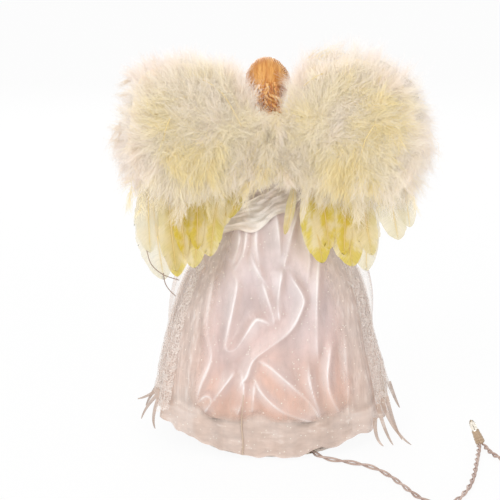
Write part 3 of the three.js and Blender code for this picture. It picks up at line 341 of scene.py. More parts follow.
def strands(lines, sides=1):
    """Round strands, each a list of (point, radius) in millimetres, as one mesh."""
    curve = bpy.data.curves.new("strands", "CURVE")
    curve.dimensions = "3D"
    curve.bevel_depth = MM
    curve.bevel_resolution = sides
    curve.use_fill_caps = True
    for line in lines:
        spline = curve.splines.new("POLY")
        spline.points.add(len(line) - 1)
        for point, (place, radius) in zip(spline.points, line):
            point.co = (*(np.asarray(place) * MM), 1.0)
            point.radius = radius
    holder = bpy.data.objects.new("strands", curve)
    mesh = bpy.data.meshes.new_from_object(holder)
    bpy.data.objects.remove(holder)
    bpy.data.curves.remove(curve)
    mesh.shade_smooth()
    return mesh


print("mesh helpers ready")

# %% [markdown]
# ## Piece helpers
# A mesh becomes a piece when it has its finish and a body to ride on. A tag is a number kept on each point,
# by which one material can look different along a barb or over a crease. The rest is small maths that many
# cells share.

# %% Piece helpers


def tag(mesh, name, values):
    """A number for each point of the mesh, for its material to read. One number stands for all points."""
    layer = mesh.attributes.new(name, "FLOAT", "POINT")
    layer.data.foreach_set("value", np.full(len(mesh.vertices), values, np.float32))


def one_mesh(meshes):
    bm = bmesh.new()
    for mesh in meshes:
        bm.from_mesh(mesh)
    joined = mesh_from(bm)
    joined.shade_smooth()
    return joined


def add_piece(name, mesh, finish, replaces=(), body="body"):
    """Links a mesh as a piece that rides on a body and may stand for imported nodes."""
    mesh.name = name
    mesh.materials.clear()
    mesh.materials.append(finish)
    piece = bpy.data.objects.new(name, mesh)
    scene.collection.objects.link(piece)
    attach(piece, body)
    if replaces:
        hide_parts(*replaces)
    print(f"{name}: {len(mesh.polygons)} faces on {body}")
    return piece


def thicken(piece, thickness):
    wall = piece.modifiers.new("cloth_wall", "SOLIDIFY")
    wall.thickness = thickness * MM
    wall.offset = 0


def unit(vectors):
    return vectors / np.maximum(np.linalg.norm(vectors, axis=-1, keepdims=True), 1e-9)


def smoothstep(low, high, values):
    share = np.clip((values - low) / (high - low), 0, 1)
    return share * share * (3 - 2 * share)


def through(points, steps):
    """A smooth line through chosen points, with equal steps between each two."""
    given = np.asarray(points, float)
    padded = np.vstack([2 * given[0] - given[1], given, 2 * given[-1] - given[-2]])
    line = []
    for a, b, c, d in zip(padded, padded[1:], padded[2:], padded[3:]):
        for t in np.arange(steps) / steps:
            line.append(0.5 * (2 * b + (c - a) * t + (2 * a - 5 * b + 4 * c - d) * t**2
                               + (3 * b - a - 3 * c + d) * t**3))
    return np.array([*line, given[-1]])


print("piece helpers ready")

# %% [markdown]
# ## Cords
# The lead is a twisted pair of thin wires in pinkish-beige plastic. It leaves the cone under the hem, lies
# on the floor in a slack bend, feeds one loose lamp and goes on to a coil and a plug. Two strands wound
# round the route show the twist in true geometry. The route repeats the points that the solid model was
# laid along.

# %% Cord routes
CORD_DIAMETER = 3.6
CORD_HEIGHT = 2.3
LEAD_EXIT = (-26.55, 52.80)
LEAD_POINTS = [
    LEAD_EXIT, (-28.8, 57.2), (-31.6, 62.8), (-36, 68.5), (-42.5, 72.8), (-51, 76), (-61, 80.5),
    (-72, 88), (-82, 102), (-90, 119), (-97, 135), (-104.5, 146), (-114, 150), (-123.5, 145),
    (-131, 133), (-138, 117), (-143.5, 98), (-147.5, 80), (-151, 64), (-153.6, 52), (-154.6, 44.7),
]
LINK_POINTS = [
    (-158.4, 44.7), (-159.2, 51), (-161, 58.5), (-165, 68), (-171, 76.5), (-175.2, 83), (-176, 88.1),
]
COIL_CENTRE = np.array([-202.0, 92.0])
COIL_OUTER_RADIUS = 26.0
COIL_PITCH = 4.3
COIL_TURNS_IN = 2.25


def on_floor(points):
    return [(x, y, CORD_HEIGHT) for x, y in points]


def coil_route():
    """The coil spirals in, climbs a layer in the half turn where it reverses, and spirals out."""
    turn = np.linspace(0, 2 * COIL_TURNS_IN, 120)
    radius = COIL_OUTER_RADIUS - COIL_PITCH * (COIL_TURNS_IN - np.abs(turn - COIL_TURNS_IN))
    angle = 2 * np.pi * turn
    climb = COIL_PITCH * smoothstep(COIL_TURNS_IN - 0.25, COIL_TURNS_IN + 0.25, turn)
    x = COIL_CENTRE[0] + radius * np.cos(angle)
    y = COIL_CENTRE[1] + radius * np.sin(angle)
    coil = np.column_stack([x, y, CORD_HEIGHT + climb])
    away = coil[-1] - (0, CORD_DIAMETER, 0)
    return np.vstack([coil, away])


def length_of(route):
    return float(np.linalg.norm(np.diff(route, axis=0), axis=1).sum())


lead_route = through(on_floor(LEAD_POINTS), 8)
link_route = np.vstack([through(on_floor(LINK_POINTS), 8), coil_route()])
print(f"lead {length_of(lead_route):.0f} mm, second run {length_of(link_route):.0f} mm")

# %% [markdown]
# ## Cord finish and twist
# Old clear-coated wire of this kind looks beige with a pink-brown cast and a soft gloss. The twist is slack
# near the doll and tighter towards the lamp, as the photograph shows, so the pitch changes along the route.

# %% Cord pieces
STRAND_RADIUS = 0.8
STRAND_OFFSET = CORD_DIAMETER / 2 - STRAND_RADIUS
STRAND_STEP = 0.8
LEAD_PITCHES = (34, 16)
PLUG_PITCHES = (16, 22)


def twisted_pair(route, pitches):
    """Two strands wound round the route, with the pitch changing evenly from end to end."""
    even = np.linspace(0, length_of(route), int(length_of(route) / STRAND_STEP))
    passed = np.concatenate([[0], np.cumsum(np.linalg.norm(np.diff(route, axis=0), axis=1))])
    middle = np.column_stack([np.interp(even, passed, route[:, axis]) for axis in range(3)])
    ahead = unit(np.gradient(middle, axis=0))
    beside = unit(np.cross(ahead, (0, 0, 1)))
    above = np.cross(beside, ahead)
    pitch = np.linspace(*pitches, len(even))
    angle = 2 * np.pi * np.cumsum(np.gradient(even) / pitch)
    around = beside * np.cos(angle)[:, None] + above * np.sin(angle)[:, None]
    lines = []
    for way in (1, -1):
        lines.append([(place, STRAND_RADIUS) for place in middle + way * STRAND_OFFSET * around])
    return strands(lines, sides=2)


cord_plastic = mottled("cord_plastic", 0.42, srgb(172, 144, 132), srgb(206, 184, 172), 90.0,
                       grain=(1500.0, 0.0001, 0.3), Coat_Weight=0.2, Coat_Roughness=0.3)
lead = add_piece("lead_pair", twisted_pair(lead_route, LEAD_PITCHES), cord_plastic, ["lead_cord"])
second_run = add_piece("plug_pair", twisted_pair(link_route, PLUG_PITCHES), cord_plastic,
                       ["link_cord", "cord_coil"])

# %% [markdown]
# ## Turned plastic and glass
# Lamp holders and bulbs are round, so each is half a profile turned about its own axis with a full spin.
# The holder of the loose lamp has three grip rings, and the clear bulb holds a filament on two posts.

# %% Lamps


def turned(profile, steps=32):
    """A profile of (radius, height) points turned about Z."""
    bm = bmesh.new()
    corners = [bm.verts.new((radius * MM, 0, height * MM)) for radius, height in profile]
    edges = [bm.edges.new(pair) for pair in zip(corners, corners[1:])]
    bmesh.ops.spin(bm, geom=[*corners, *edges], cent=(0, 0, 0), axis=(0, 0, 1), angle=2 * math.pi,
                   steps=steps, use_merge=True)
    bmesh.ops.remove_doubles(bm, verts=bm.verts, dist=MERGE_DISTANCE)
    bmesh.ops.recalc_face_normals(bm, faces=bm.faces)
    mesh = mesh_from(bm)
    mesh.shade_smooth()
    return mesh


def aimed(mesh, place, direction):
    """Moves a mesh that was turned about Z onto a place, pointing in a direction."""
    turn = Vector(direction).to_track_quat("Z", "Y").to_matrix().to_4x4()
    mesh.transform(Matrix.Translation(Vector(place) * MM) @ turn)
    return mesh


def plastic(name, low, high, roughness):
    return mottled(name, roughness, low, high, 60.0, grain=(2500.0, 0.00005, 0.4))


lamp_plastic = plastic("lamp_plastic", srgb(214, 198, 176), srgb(232, 221, 204), 0.35)
holder_plastic = plastic("holder_plastic", srgb(176, 150, 122), srgb(202, 178, 150), 0.4)
lamp_glass, _, _ = new_finish("lamp_glass", 0.06, srgb(250, 243, 230), Transmission_Weight=0.85, IOR=1.45)
filament, _, _ = new_finish("filament_wire", 0.35, srgb(150, 140, 128), Metallic=1.0)

LOOSE_LAMP = (-156.5, 40.5, 2.2)
LOOSE_LEAN = math.radians(24)
loose_way = (math.sin(LOOSE_LEAN), 0, math.cos(LOOSE_LEAN))
HOLDER_PROFILE = [
    (0, 0), (3.0, 0), (3.6, 0.6), (3.6, 2.2), (3.1, 2.6), (3.1, 3.2), (3.5, 3.6), (3.5, 4.4), (3.0, 4.8),
    (3.0, 5.4), (3.3, 5.8), (3.3, 6.6), (2.9, 7.0), (2.9, 10.4), (2.6, 11), (0, 11),
]
BULB_PROFILE = [
    (0, 11.2), (2.0, 11.2), (2.3, 12.2), (2.5, 14.4), (2.3, 17), (1.7, 18.9), (0.7, 20), (0, 20.3),
]
FILAMENT = [(-0.8, 11.6), (-0.8, 14.4), (-0.9, 15.6), (0, 16.3), (0.9, 15.6), (0.8, 14.4), (0.8, 11.6)]
FILAMENT_RADIUS = 0.14


def loose_piece(name, mesh, finish, replaces=()):
    """A piece of the loose lamp, which leans as it stands on the floor."""
    return add_piece(name, aimed(mesh, LOOSE_LAMP, loose_way), finish, replaces)


filament_line = [((x, 0, z), FILAMENT_RADIUS) for x, z in FILAMENT]
holder = loose_piece("lamp_holder", turned(HOLDER_PROFILE), holder_plastic,
                     ["loose_lamp_holder"])
bulb = loose_piece("lamp_bulb", turned(BULB_PROFILE), lamp_glass, ["loose_lamp_bulb"])
loose_filament = loose_piece("lamp_filament", strands([filament_line]), filament)

# %% [markdown]
# ## Lamps in the cone
# Nine lamps sit in holes up the cone. Each one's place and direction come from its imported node: its axis is
# the longest direction of the mesh, and its tail is the end of that axis inside the cone.

# %% Lamps in the cone
LAMP_STEPS = 20
LAMP_PROFILE = [
    (0, 0), (2.2, 0), (2.35, 4), (2.45, 9.6), (4.3, 9.6), (4.6, 10), (4.6, 11), (4.3, 11.3), (2.9, 11.3),
    (2.9, 15.2), (2.75, 15.8),
]
LAMP_TIP_PROFILE = [(2.7, 15.8), (2.55, 18), (2.1, 20.2), (1.3, 21.6), (0, 22)]


def lamp_axis(node):
    """The tail end of a lamp and the direction that it points in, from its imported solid."""
    points = points_of(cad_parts[node].data) / MM
    middle = points.mean(axis=0)
    _, _, ways = np.linalg.svd(points - middle)
    way = ways[0] if middle[:2] @ ways[0][:2] > 0 else -ways[0]
    along = (points - middle) @ way
    return middle + way * along.min(), way


for number in range(1, 10):
    tail, way = lamp_axis(f"lamp_{number}")
    lamp_body = aimed(turned(LAMP_PROFILE, LAMP_STEPS), tail, way)
    add_piece(f"lamp_body_{number}", lamp_body, lamp_plastic, [f"lamp_{number}"])
    lamp_tip = aimed(turned(LAMP_TIP_PROFILE, LAMP_STEPS), tail, way)
    add_piece(f"lamp_tip_{number}", lamp_tip, lamp_glass)

# %% [markdown]
# ## Moulded parts that keep their imported shape
# Cone, grommet, plug, boards and wires are right as packed. A copy of each is merged; where a bevel is
# given, its flat facets are joined again and its sharp edges get a small bevel, as a moulding has. Each then
# takes a finish of its own.

# %% Moulded parts
SHARP_ANGLE = math.radians(35)
FLAT_ANGLE = math.radians(1)
PACKED_MERGE = 1e-6


def moulded_copy(node, bevel):
    """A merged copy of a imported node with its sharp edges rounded."""
    bm = bmesh.new()
    bm.from_mesh(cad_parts[node].data)
    bmesh.ops.remove_doubles(bm, verts=bm.verts, dist=PACKED_MERGE)
    if bevel:
        bmesh.ops.dissolve_limit(bm, angle_limit=FLAT_ANGLE, verts=bm.verts, edges=bm.edges)
        edges = [e for e in bm.edges if e.is_manifold and e.calc_face_angle(0) > SHARP_ANGLE]
        bmesh.ops.bevel(bm, geom=edges, offset=bevel * MM, affect="EDGES", segments=2, profile=0.5,
                        material=-1, clamp_overlap=True)
    mesh = mesh_from(bm)
    mesh.shade_smooth()
    mesh.set_sharp_from_angle(angle=SHARP_ANGLE)
    return mesh


def metal(name, low, high):
    return mottled(name, 0.3, low, high, 400.0, Metallic=1.0)


cone_plastic = plastic("cone_plastic", srgb(240, 226, 214), srgb(248, 238, 229), 0.45)
brass = metal("blade_brass", srgb(196, 160, 92), srgb(222, 190, 122))
steel = metal("arm_wire_steel", srgb(168, 168, 164), srgb(198, 198, 194))
wing_card = mottled("wing_card", 0.85, srgb(214, 204, 186), srgb(232, 225, 210), 300.0, 6.0,
                    grain=(300.0, 0.0002, 0.5))

# Node, bevel in millimetres, finish, body and slot.
MOULDED = [
    ("cone_core", 0, cone_plastic, "body", "cone_plastic"),
    ("cord_grommet", 0.5, lamp_plastic, "body", "lamp_plastic"),
    ("lamp_harness", 0, cord_plastic, "body", "cord_pvc"),
    ("plug_body", 0.6, cord_plastic, "body", "cord_pvc"),
    ("plug_blade_left", 0.2, brass, "body", "brass"),
    ("plug_blade_right", 0.2, brass, "body", "brass"),
    ("fuse_cover", 0.3, cord_plastic, "fuse_door", "cord_pvc"),
    ("wing_hub", 0.2, wing_card, "body", "card"),
    ("wing_board_left", 0.2, wing_card, "wing_left", "card"),
    ("wing_board_right", 0.2, wing_card, "wing_right", "card"),
    ("arm_wire_left", 0, steel, "arm_left", "wire"),
    ("arm_wire_right", 0, steel, "arm_right", "wire"),
]
for node, bevel, finish, body, slot in MOULDED:
    add_piece(node + "_moulded", moulded_copy(node, bevel), finish, [node], body)

# %% [markdown]
# ## Creases
# On the back, the satin is pulled into sharp creases that branch and fade. Cloth physics would lay its own
# folds, so each crease is a line of chosen (x, z) points instead. The distance to that line gives a rounded
# ridge that lifts the cloth, a painted highlight along its crest with painted sheen on its lit side, and
# painted shade in the hollow on its far side.

# %% Creases
# Widths of the painted highlight line, the painted sheen and the painted shade band of each crease.
HIGHLIGHT_LINE_WIDTH = 0.62
SHEEN_WIDTH = 3.0
SHADE_BAND_AWAY = 2.6
SHADE_BAND_WIDTH = 2.8
# The height and width of each crease, and its line of (x, z) points.
BACK_CREASES = [
    (3.4, 4.0, [(43, 136), (48, 111), (49, 94), (46, 74), (54, 52), (58, 36)]),
    (3.0, 3.6, [
        (30, 135), (27, 128), (30, 111), (35, 88), (34, 81), (27, 84), (15, 102), (10, 104), (1, 100)]),
    (2.4, 3.4, [(9, 132), (1, 108), (0, 100)]),
    (2.6, 3.4, [(-6, 140), (-3, 118), (-4, 103)]),
    (3.0, 3.8, [
        (-11, 136), (-21, 120), (-20, 111), (-12, 97), (3, 85), (15, 75), (20, 63), (24, 57), (22, 50)]),
    (2.6, 4.0, [(14, 75), (1, 69), (-26, 43), (-36, 26)]),
    (2.6, 4.0, [(15, 64), (9, 51), (-7, 37), (-32, 26)]),
    (2.2, 4.0, [(-25, 73), (-27, 55), (-36, 27)]),
    (2.4, 4.4, [(-42, 87), (-40, 53), (-54, 22)]),
    (2.0, 4.0, [(-52, 92), (-54, 63), (-56, 40)]),
    (2.6, 3.6, [(28, 67), (44, 43), (53, 29)]),
    (2.2, 3.0, [(58, 36), (51, 44), (46, 42), (51, 30)]),
    (2.4, 3.2, [(24, 68), (22, 50), (27, 33)]),
    (2.0, 3.0, [(15, 64), (14, 58), (16, 34)]),
    (2.0, 4.0, [(28, 170), (25, 159), (30, 140)]),
    (2.0, 4.0, [(9, 177), (13, 160), (9, 132)]),
    (2.4, 4.0, [(-19, 182), (-12, 160), (-7, 140)]),
    (2.2, 4.4, [(-35, 157), (-32, 131), (-31, 96), (-32, 73)]),
    (2.4, 4.4, [(54, 120), (57, 91), (64, 52)]),
    (1.6, 3.0, [(1, 188), (-3, 168), (-5, 146)]),
    (1.6, 3.0, [(12, 186), (19, 168), (22, 150), (30, 135)]),
    (1.6, 3.0, [(-12, 186), (-20, 166), (-26, 148), (-24, 128)]),
    (1.8, 3.0, [(18, 152), (12, 138), (2, 124)]),
]


def distance_to(line, x, z):
    """Distance from points to a line, the share along it of the nearest place, and the side."""
    given = np.asarray(line, float)
    lengths = np.linalg.norm(np.diff(given, axis=0), axis=1)
    starts = np.concatenate([[0], np.cumsum(lengths)])
    best = np.full(x.shape, np.inf)
    share = np.zeros(x.shape)
    hand = np.ones(x.shape)
    for a, b, length, start in zip(given, given[1:], lengths, starts):
        along = np.clip(((x - a[0]) * (b[0] - a[0]) + (z - a[1]) * (b[1] - a[1])) / length**2, 0, 1)
        away = np.hypot(x - a[0] - along * (b[0] - a[0]), z - a[1] - along * (b[1] - a[1]))
        nearer = away < best
        best = np.where(nearer, away, best)
        share = np.where(nearer, (start + along * length) / starts[-1], share)
        turn = (b[0] - a[0]) * (z - a[1]) - (b[1] - a[1]) * (x - a[0])
        hand = np.where(nearer, np.sign(turn), hand)
    return best, share, hand


def crest(x, y, z, widen=1.0):
    """How far creases lift the cloth on the back, the painted highlight and sheen along their ridges, and the
    painted shade in their hollows.
    """
    lift = np.zeros(x.shape)
    shine = np.zeros(x.shape)
    shade = np.zeros(x.shape)
    for height, width, path in BACK_CREASES:
        away, share, hand = distance_to(through(path, 5), x, z)
        fade = smoothstep(-0.02, 0.12, share) * smoothstep(1.02, 0.86, share)
        ridge = height * np.exp(-(np.sqrt(away**2 + 1.0) - 1.0) / (width * widen))
        lift = np.maximum(lift, ridge * (0.35 + 0.65 * fade))
        # Painted light and shade: a highlight line on the ridge, sheen mostly on its lit side, and shade in
        # the hollow beyond.
        bright = fade * (0.64 + 0.36 * np.sin(9 * share + 2 * height))
        thin = HIGHLIGHT_LINE_WIDTH * (1 + 0.45 * np.sin(13 * share + 5 * height))
        lit_side_sheen = np.where(hand > 0, 0.5, 0.16) * np.clip(1 - away / (SHEEN_WIDTH * height), 0, 1)
        shine = np.maximum(shine, bright * (0.3 * height * np.exp(-((away / thin) ** 2)) + lit_side_sheen))
        hollow = np.exp(-(((away - SHADE_BAND_AWAY) / SHADE_BAND_WIDTH) ** 2)) * (hand < 0)
        shade = np.maximum(shade, bright * hollow)
    behind = smoothstep(2, 16, y)
    return lift * behind, np.clip(shine, 0, 1) * behind, shade * behind


print(len(BACK_CREASES), "creases on the back")

# %% [markdown]
# ## Skirt surface
# The skirt is gathered at the waist, spreads fast and then falls almost straight. All of its layers share
# one surface, given by an angle round the doll and a height, so that satin, organza, lace and sash lie on
# each other.

# %% Skirt surface
SATIN_TOP = 196.0
SATIN_HEM = 28.0
WAIST_HALF = np.array([19.8, 17.4])
HEM_HALF = np.array([86.5, 65.0])
SPREAD_POWER = 1.9
FLOOR_FLARE = 3.0
FOLD_DEPTH = 3.2
SIDE_DRAW = 3.6
DRAW_HEIGHT = 74.0
DRAW_SPAN = 30.0


def on_skirt(angle, height, offset, creased=False, widen=1.0):
    """Points of the skirt, the given distance outside the satin."""
    fall = np.clip((SATIN_TOP - height) / (SATIN_TOP - SATIN_HEM), 0, 1)
    spread = 1 - (1 - fall) ** SPREAD_POWER
    flare = FLOOR_FLARE * np.clip((SATIN_HEM - height) / SATIN_HEM, 0, 1)
    fold = FOLD_DEPTH * fall * (0.65 * np.cos(15 * angle + 0.6) + 0.35 * np.cos(9 * angle + 2.1))
    if creased:
        fold = fold * (1 - 0.55 * smoothstep(0.1, 0.7, np.sin(angle)))
    half = WAIST_HALF + (HEM_HALF - WAIST_HALF) * spread[:, None]
    low = np.exp(-(((height - DRAW_HEIGHT) / DRAW_SPAN) ** 2))
    drawn_in = SIDE_DRAW * (1 - 0.55 * np.cos(angle)) * np.cos(angle) ** 2 * low
    reach = fold + offset + flare - drawn_in
    x = (half[:, 0] + reach) * np.cos(angle)
    y = (half[:, 1] + reach) * np.sin(angle)
    if creased:
        lift = crest(x, y, height, widen)[0]
        x = x + lift * np.cos(angle)
        y = y + lift * np.sin(angle)
    return np.column_stack([x, y, height])


print("skirt from", SATIN_HEM, "to", SATIN_TOP, "mm")

# %% [markdown]
# ## Satin skirt
# The satin is the opaque layer: smooth, glossy, lilac-white at the waist and peach near the hem. The back
# half is a fine grid, because its creases are sharp, with a painted highlight along their ridges and painted
# shade in their hollows.

# %% Satin skirt
SATIN_OFFSET = -0.4
SHADE_SHARE = 0.75
# Tone up the height: lilac-white at the waist, peach near the hem. The top stops are lighter still: partly
# the cloth's own tone, partly painted light where the wings shade the waist and bodice.
SATIN_TONES = [
    (0.13, srgb(216, 190, 176)), (0.19, srgb(222, 187, 168)), (0.26, srgb(225, 184, 165)),
    (0.42, srgb(216, 188, 181)), (0.62, srgb(213, 195, 194)), (0.9, srgb(226, 209, 204)),
    (0.99, srgb(245, 234, 228)),
]


def wander(tree, place, scale, by):
    """Noise about 0."""
    return maths(tree, "MULTIPLY", maths(tree, "SUBTRACT", noise(tree, place, scale), 0.5), by)


def height_of(tree, place):
    return add(tree, "SeparateXYZ", {0: place}).outputs["Z"]


def satin_finish():
    material, tree, shader = new_finish("satin", 0.3, Specular_IOR_Level=0.7)
    place = place_of(tree)
    level = maths(tree, "ADD", height_of(tree, place), wander(tree, place, 22.0, 0.08))
    tone = ramp(tree, maths(tree, "MULTIPLY", level, 5.0), SATIN_TONES)
    # The slack noise bumps soft folds and also darkens and lightens the colour with them: painted shade and
    # light on those folds.
    slack = drawn_noise(tree, place, (70, 70, 26), 4.0)
    tone = times(tree, tone, ramp(tree, slack, [(0.34, grey(0.78)), (0.64, grey(1.06))]))
    # Painted shade in the hollows beside the creases, then a painted highlight along their ridges, from the
    # points.
    shaded = mixed(tree, attribute(tree, "shade"), tone, srgb(194, 164, 156))
    colour_with(tree, shader, mixed(tree, attribute(tree, "shine"), shaded, srgb(252, 246, 245)))
    weave = drawn_noise(tree, add(tree, "UVMap").outputs["UV"], (160, 330, 1), 2.0)
    rough = maths(tree, "ADD", maths(tree, "MULTIPLY", weave, 0.12), slack)
    bump(tree, shader, rough, 0.0035, 0.55)
    return material


satin = satin_finish()


def satin_half(first, last, columns, rows):
    """The satin between two angles round the doll."""
    def place(across, along):
        angle = first + (last - first) * across
        return on_skirt(angle, SATIN_HEM + (SATIN_TOP - SATIN_HEM) * along, SATIN_OFFSET, creased=True)

    mesh = cloth(columns, rows, place)
    x, y, z = (points_of(mesh) / MM).T
    # The creases' painted highlight and painted shade, kept on the points for the satin's finish.
    _, shine, shade = crest(x, y, z)
    tag(mesh, "shine", shine)
    tag(mesh, "shade", SHADE_SHARE * shade)
    return mesh


satin_back = add_piece("satin_back", satin_half(0, math.pi, 340, 240), satin,
                       ["satin_gore_left", "satin_gore_back", "satin_gore_right"])
satin_front = add_piece("satin_front", satin_half(math.pi, 2 * math.pi, 200, 80), satin,
                        ["satin_gore_front"])

# %% [markdown]
# ## Organza cloth
# Organza is stiff, sheer and crumpled, with glitter glued on. How dense it is comes from a point attribute,
# so that one finish serves single and doubled cloth. Noise drawn out along the fall gives the crumples: their
# bump, painted shade in their folds and painted glints of light on their ridges.
# Glitter made as pieces would be thousands of flakes, so it is tiny cells of a texture, of which a few are
# bright and opaque.

# %% Organza cloth
GLITTER = 0.8


def organza_finish(name, veil, thin, wrinkles=(330, 330, 45), gloss=0.55):
    """Sheer cloth: its alpha is the point attribute 'dense', with folds, their painted shade and glints, and
    glitter on top.
    """
    material, tree, shader = new_finish(name, 0.45, Specular_IOR_Level=0.4, Sheen_Weight=0.2)
    place = place_of(tree)
    colour = ramp(tree, noise(tree, place, 55.0), [(0.3, veil), (0.7, thin)])
    hanging = drawn_noise(tree, place, wrinkles, 5.0)
    lying = drawn_noise(tree, place, (70, 70, 230), 5.0)
    lying = maths(tree, "ADD", maths(tree, "MULTIPLY", lying, 0.75), 0.12)
    height = maths(tree, "MULTIPLY", height_of(tree, place), 10.0)
    at_hem = ramp(tree, height, [(0.26, grey(0.85)), (0.36, grey(0.0))])
    crumple = mixed(tree, at_hem, hanging, lying)
    # Painted shade: the colour darkens where the crumples fold in.
    colour = times(tree, colour, ramp(tree, crumple, [(0.32, grey(0.85)), (0.58, grey(1.02))]))
    colour = times(tree, colour, ramp(tree, at_hem, [(0.0, grey(1.0)), (0.85, srgb(230, 224, 221))]))
    # Painted glints of light on the crumples' ridges, as strong as asked, which also make the cloth a little
    # denser.
    glint = ramp(tree, crumple, [(0.56, grey(0.0)), (0.74, grey(gloss))])
    colour = mixed(tree, glint, colour, srgb(255, 251, 247))
    cells = add(tree, "TexVoronoi", {"Vector": place, "Scale": 900.0}, feature="F1")
    pick = add(tree, "SeparateColor", {0: cells.outputs["Color"]}).outputs[0]
    chosen = maths(tree, "GREATER_THAN", pick, 0.975)
    middle = maths(tree, "LESS_THAN", cells.outputs["Distance"], 0.42)
    spark = maths(tree, "MULTIPLY", maths(tree, "MULTIPLY", chosen, middle), GLITTER)
    colour_with(tree, shader, mixed(tree, spark, colour, srgb(255, 251, 240)))
    veiled = maths(tree, "ADD", attribute(tree, "dense"), wander(tree, place, 140.0, 0.25))
    veiled = maths(tree, "ADD", veiled, maths(tree, "MULTIPLY", glint, 0.2))
    alpha = maths(tree, "MAXIMUM", maths(tree, "MAXIMUM", veiled, 0.03), spark)
    tree.links.new(alpha, shader.inputs["Alpha"])
    bump(tree, shader, crumple, 0.0025, 0.7)
    return material


organza = organza_finish("organza", srgb(243, 221, 207), srgb(251, 235, 225))
print("organza ready")

# %% [markdown]
# ## Organza overskirt
# Four sheer panels lie over the satin, thin in the middle of the back and doubled at the sides and below
# the satin hem, where they look beige. Each is laid on the same surface as the satin, a little outside it,
# with the creases widened as they would be under a second layer.

# %% Organza overskirt
ORGANZA_TOP = 194.0
ORGANZA_HEM = 1.2
ORGANZA_OFFSET = 1.3
VEIL_WIDEN = 1.35
SEAM_ANGLE = math.radians(75)
ARCH_ANGLE = math.radians(112.5)
ARCH_WIDTH = math.radians(5)
HEM_ARCH = 3.4
SIDE_RISE = 16.0
BACK_DENSE = 0.05
SIDE_DENSE = 0.55
HEM_DENSE = 0.8
MOST_DENSE = 0.9


def organza_density(points):
    """Thin over the middle of the back, thicker at the sides and below the satin's hem."""
    angle = np.arctan2(points[:, 1] / HEM_HALF[1], points[:, 0] / HEM_HALF[0])
    off_middle = np.abs(angle - math.pi / 2)
    side = smoothstep(0.5, 0.9, off_middle)
    edge = SATIN_HEM + 2.5 * np.sin(9 * angle + 1) + 1.5 * np.sin(23 * angle)
    low = smoothstep(8, -2, points[:, 2] - edge)
    return np.clip(BACK_DENSE + SIDE_DENSE * side + HEM_DENSE * low, 0, MOST_DENSE)


def hem_height(angle):
    """The overskirt's hem: higher at the sides, with an arch over the lead, and uneven."""
    arch = HEM_ARCH * np.maximum(0, 1 - np.abs(angle - ARCH_ANGLE) / ARCH_WIDTH)
    rise = SIDE_RISE * np.abs(np.cos(angle)) ** 1.7
    return ORGANZA_HEM + arch + rise + 0.8 + 0.8 * np.sin(17 * angle) + 0.5 * np.sin(37 * angle + 1)


def organza_panel(first, last):
    def place(across, along):
        angle = first + (last - first) * across
        hem = hem_height(angle)
        height = hem + (ORGANZA_TOP - hem) * along
        points = on_skirt(angle, height, ORGANZA_OFFSET, creased=True, widen=VEIL_WIDEN)
        ripple = 0.8 * np.sin(23 * angle + 4 * along) * smoothstep(0.6, 0.1, along)
        points[:, :2] *= (1 + ripple / np.linalg.norm(points[:, :2], axis=1))[:, None]
        return points

    mesh = cloth(100, 90, place)
    tag(mesh, "dense", organza_density(points_of(mesh) / MM))
    return mesh


seam_angles = [SEAM_ANGLE + number * math.pi / 2 for number in range(4)]
for name, start in zip(["back_right", "front_right", "front_left", "back_left"], seam_angles):
    panel = organza_panel(start, start + math.pi / 2)
    add_piece(f"organza_veil_{name}", panel, organza, [f"organza_{name}"])

# %% [markdown]
# ## Organza seams
# Each panel is sewn to the next in a narrow rolled seam, which looks darker because the cloth lies double
# there. A thin wavering strand up the lower part of each seam line gives that fold.

# %% Organza seams
SEAM_RISE = 22.0
seam_thread, _, _ = new_finish("seam_roll", 0.6, srgb(206, 184, 162))


def seam_line(angle):
    heights = np.linspace(hem_height(angle) + 0.6, SATIN_HEM + SEAM_RISE, 30)
    drift = angle + 0.008 * np.sin(heights / 6)
    points = on_skirt(drift, heights, ORGANZA_OFFSET + 0.3, creased=True, widen=VEIL_WIDEN)
    return [(point, 0.55 - 0.25 * share) for point, share in zip(points, np.linspace(0, 1, len(points)))]


add_piece("organza_seams", strands([seam_line(angle) for angle in seam_angles]), seam_thread)

# %% [markdown]
# ## Side lace
# At each side hangs a piece of leaf lace: a fine net with leaves sewn on vines, cut below into thin pointed
# tails that stand off the hem. The net is one sheet, and its threads are the borders of small cells in its
# finish, because threads made as strands would be far too many.

# %% Lace net
LACE_TOP = 138.0
LACE_VALLEY = 27.0
LACE_OFFSET = 2.5
LACE_HALF_ANGLE = math.radians(30)
LACE_FLARE = 13.0
LACE_FLARE_HEIGHT = 46.0
SIDES = (("left", 1), ("right", -1))


def net_finish():
    material, tree, shader = new_finish("lace_net", 0.7, srgb(248, 238, 230), Sheen_Weight=0.2)
    cells = add(tree, "TexVoronoi", {"Vector": place_of(tree), "Scale": 520.0}, feature="DISTANCE_TO_EDGE")
    thread = maths(tree, "LESS_THAN", cells.outputs["Distance"], 0.09)
    alpha = maths(tree, "ADD", maths(tree, "MULTIPLY", thread, 0.6), 0.08)
    tree.links.new(alpha, shader.inputs["Alpha"])
    return material


lace_net = net_finish()
lace_leaf = mottled("lace_leaf", 0.6, srgb(248, 234, 224), srgb(255, 248, 242), 1400.0, Sheen_Weight=0.3,
                    Alpha=0.32)
lace_tail = organza_finish("lace_tail", srgb(198, 176, 160), srgb(226, 206, 192))


def on_lace(angle, height, lift=0.0):
    flare = LACE_FLARE * np.maximum(0, 1 - height / LACE_FLARE_HEIGHT) ** 2
    return on_skirt(angle, height, LACE_OFFSET + flare + lift)


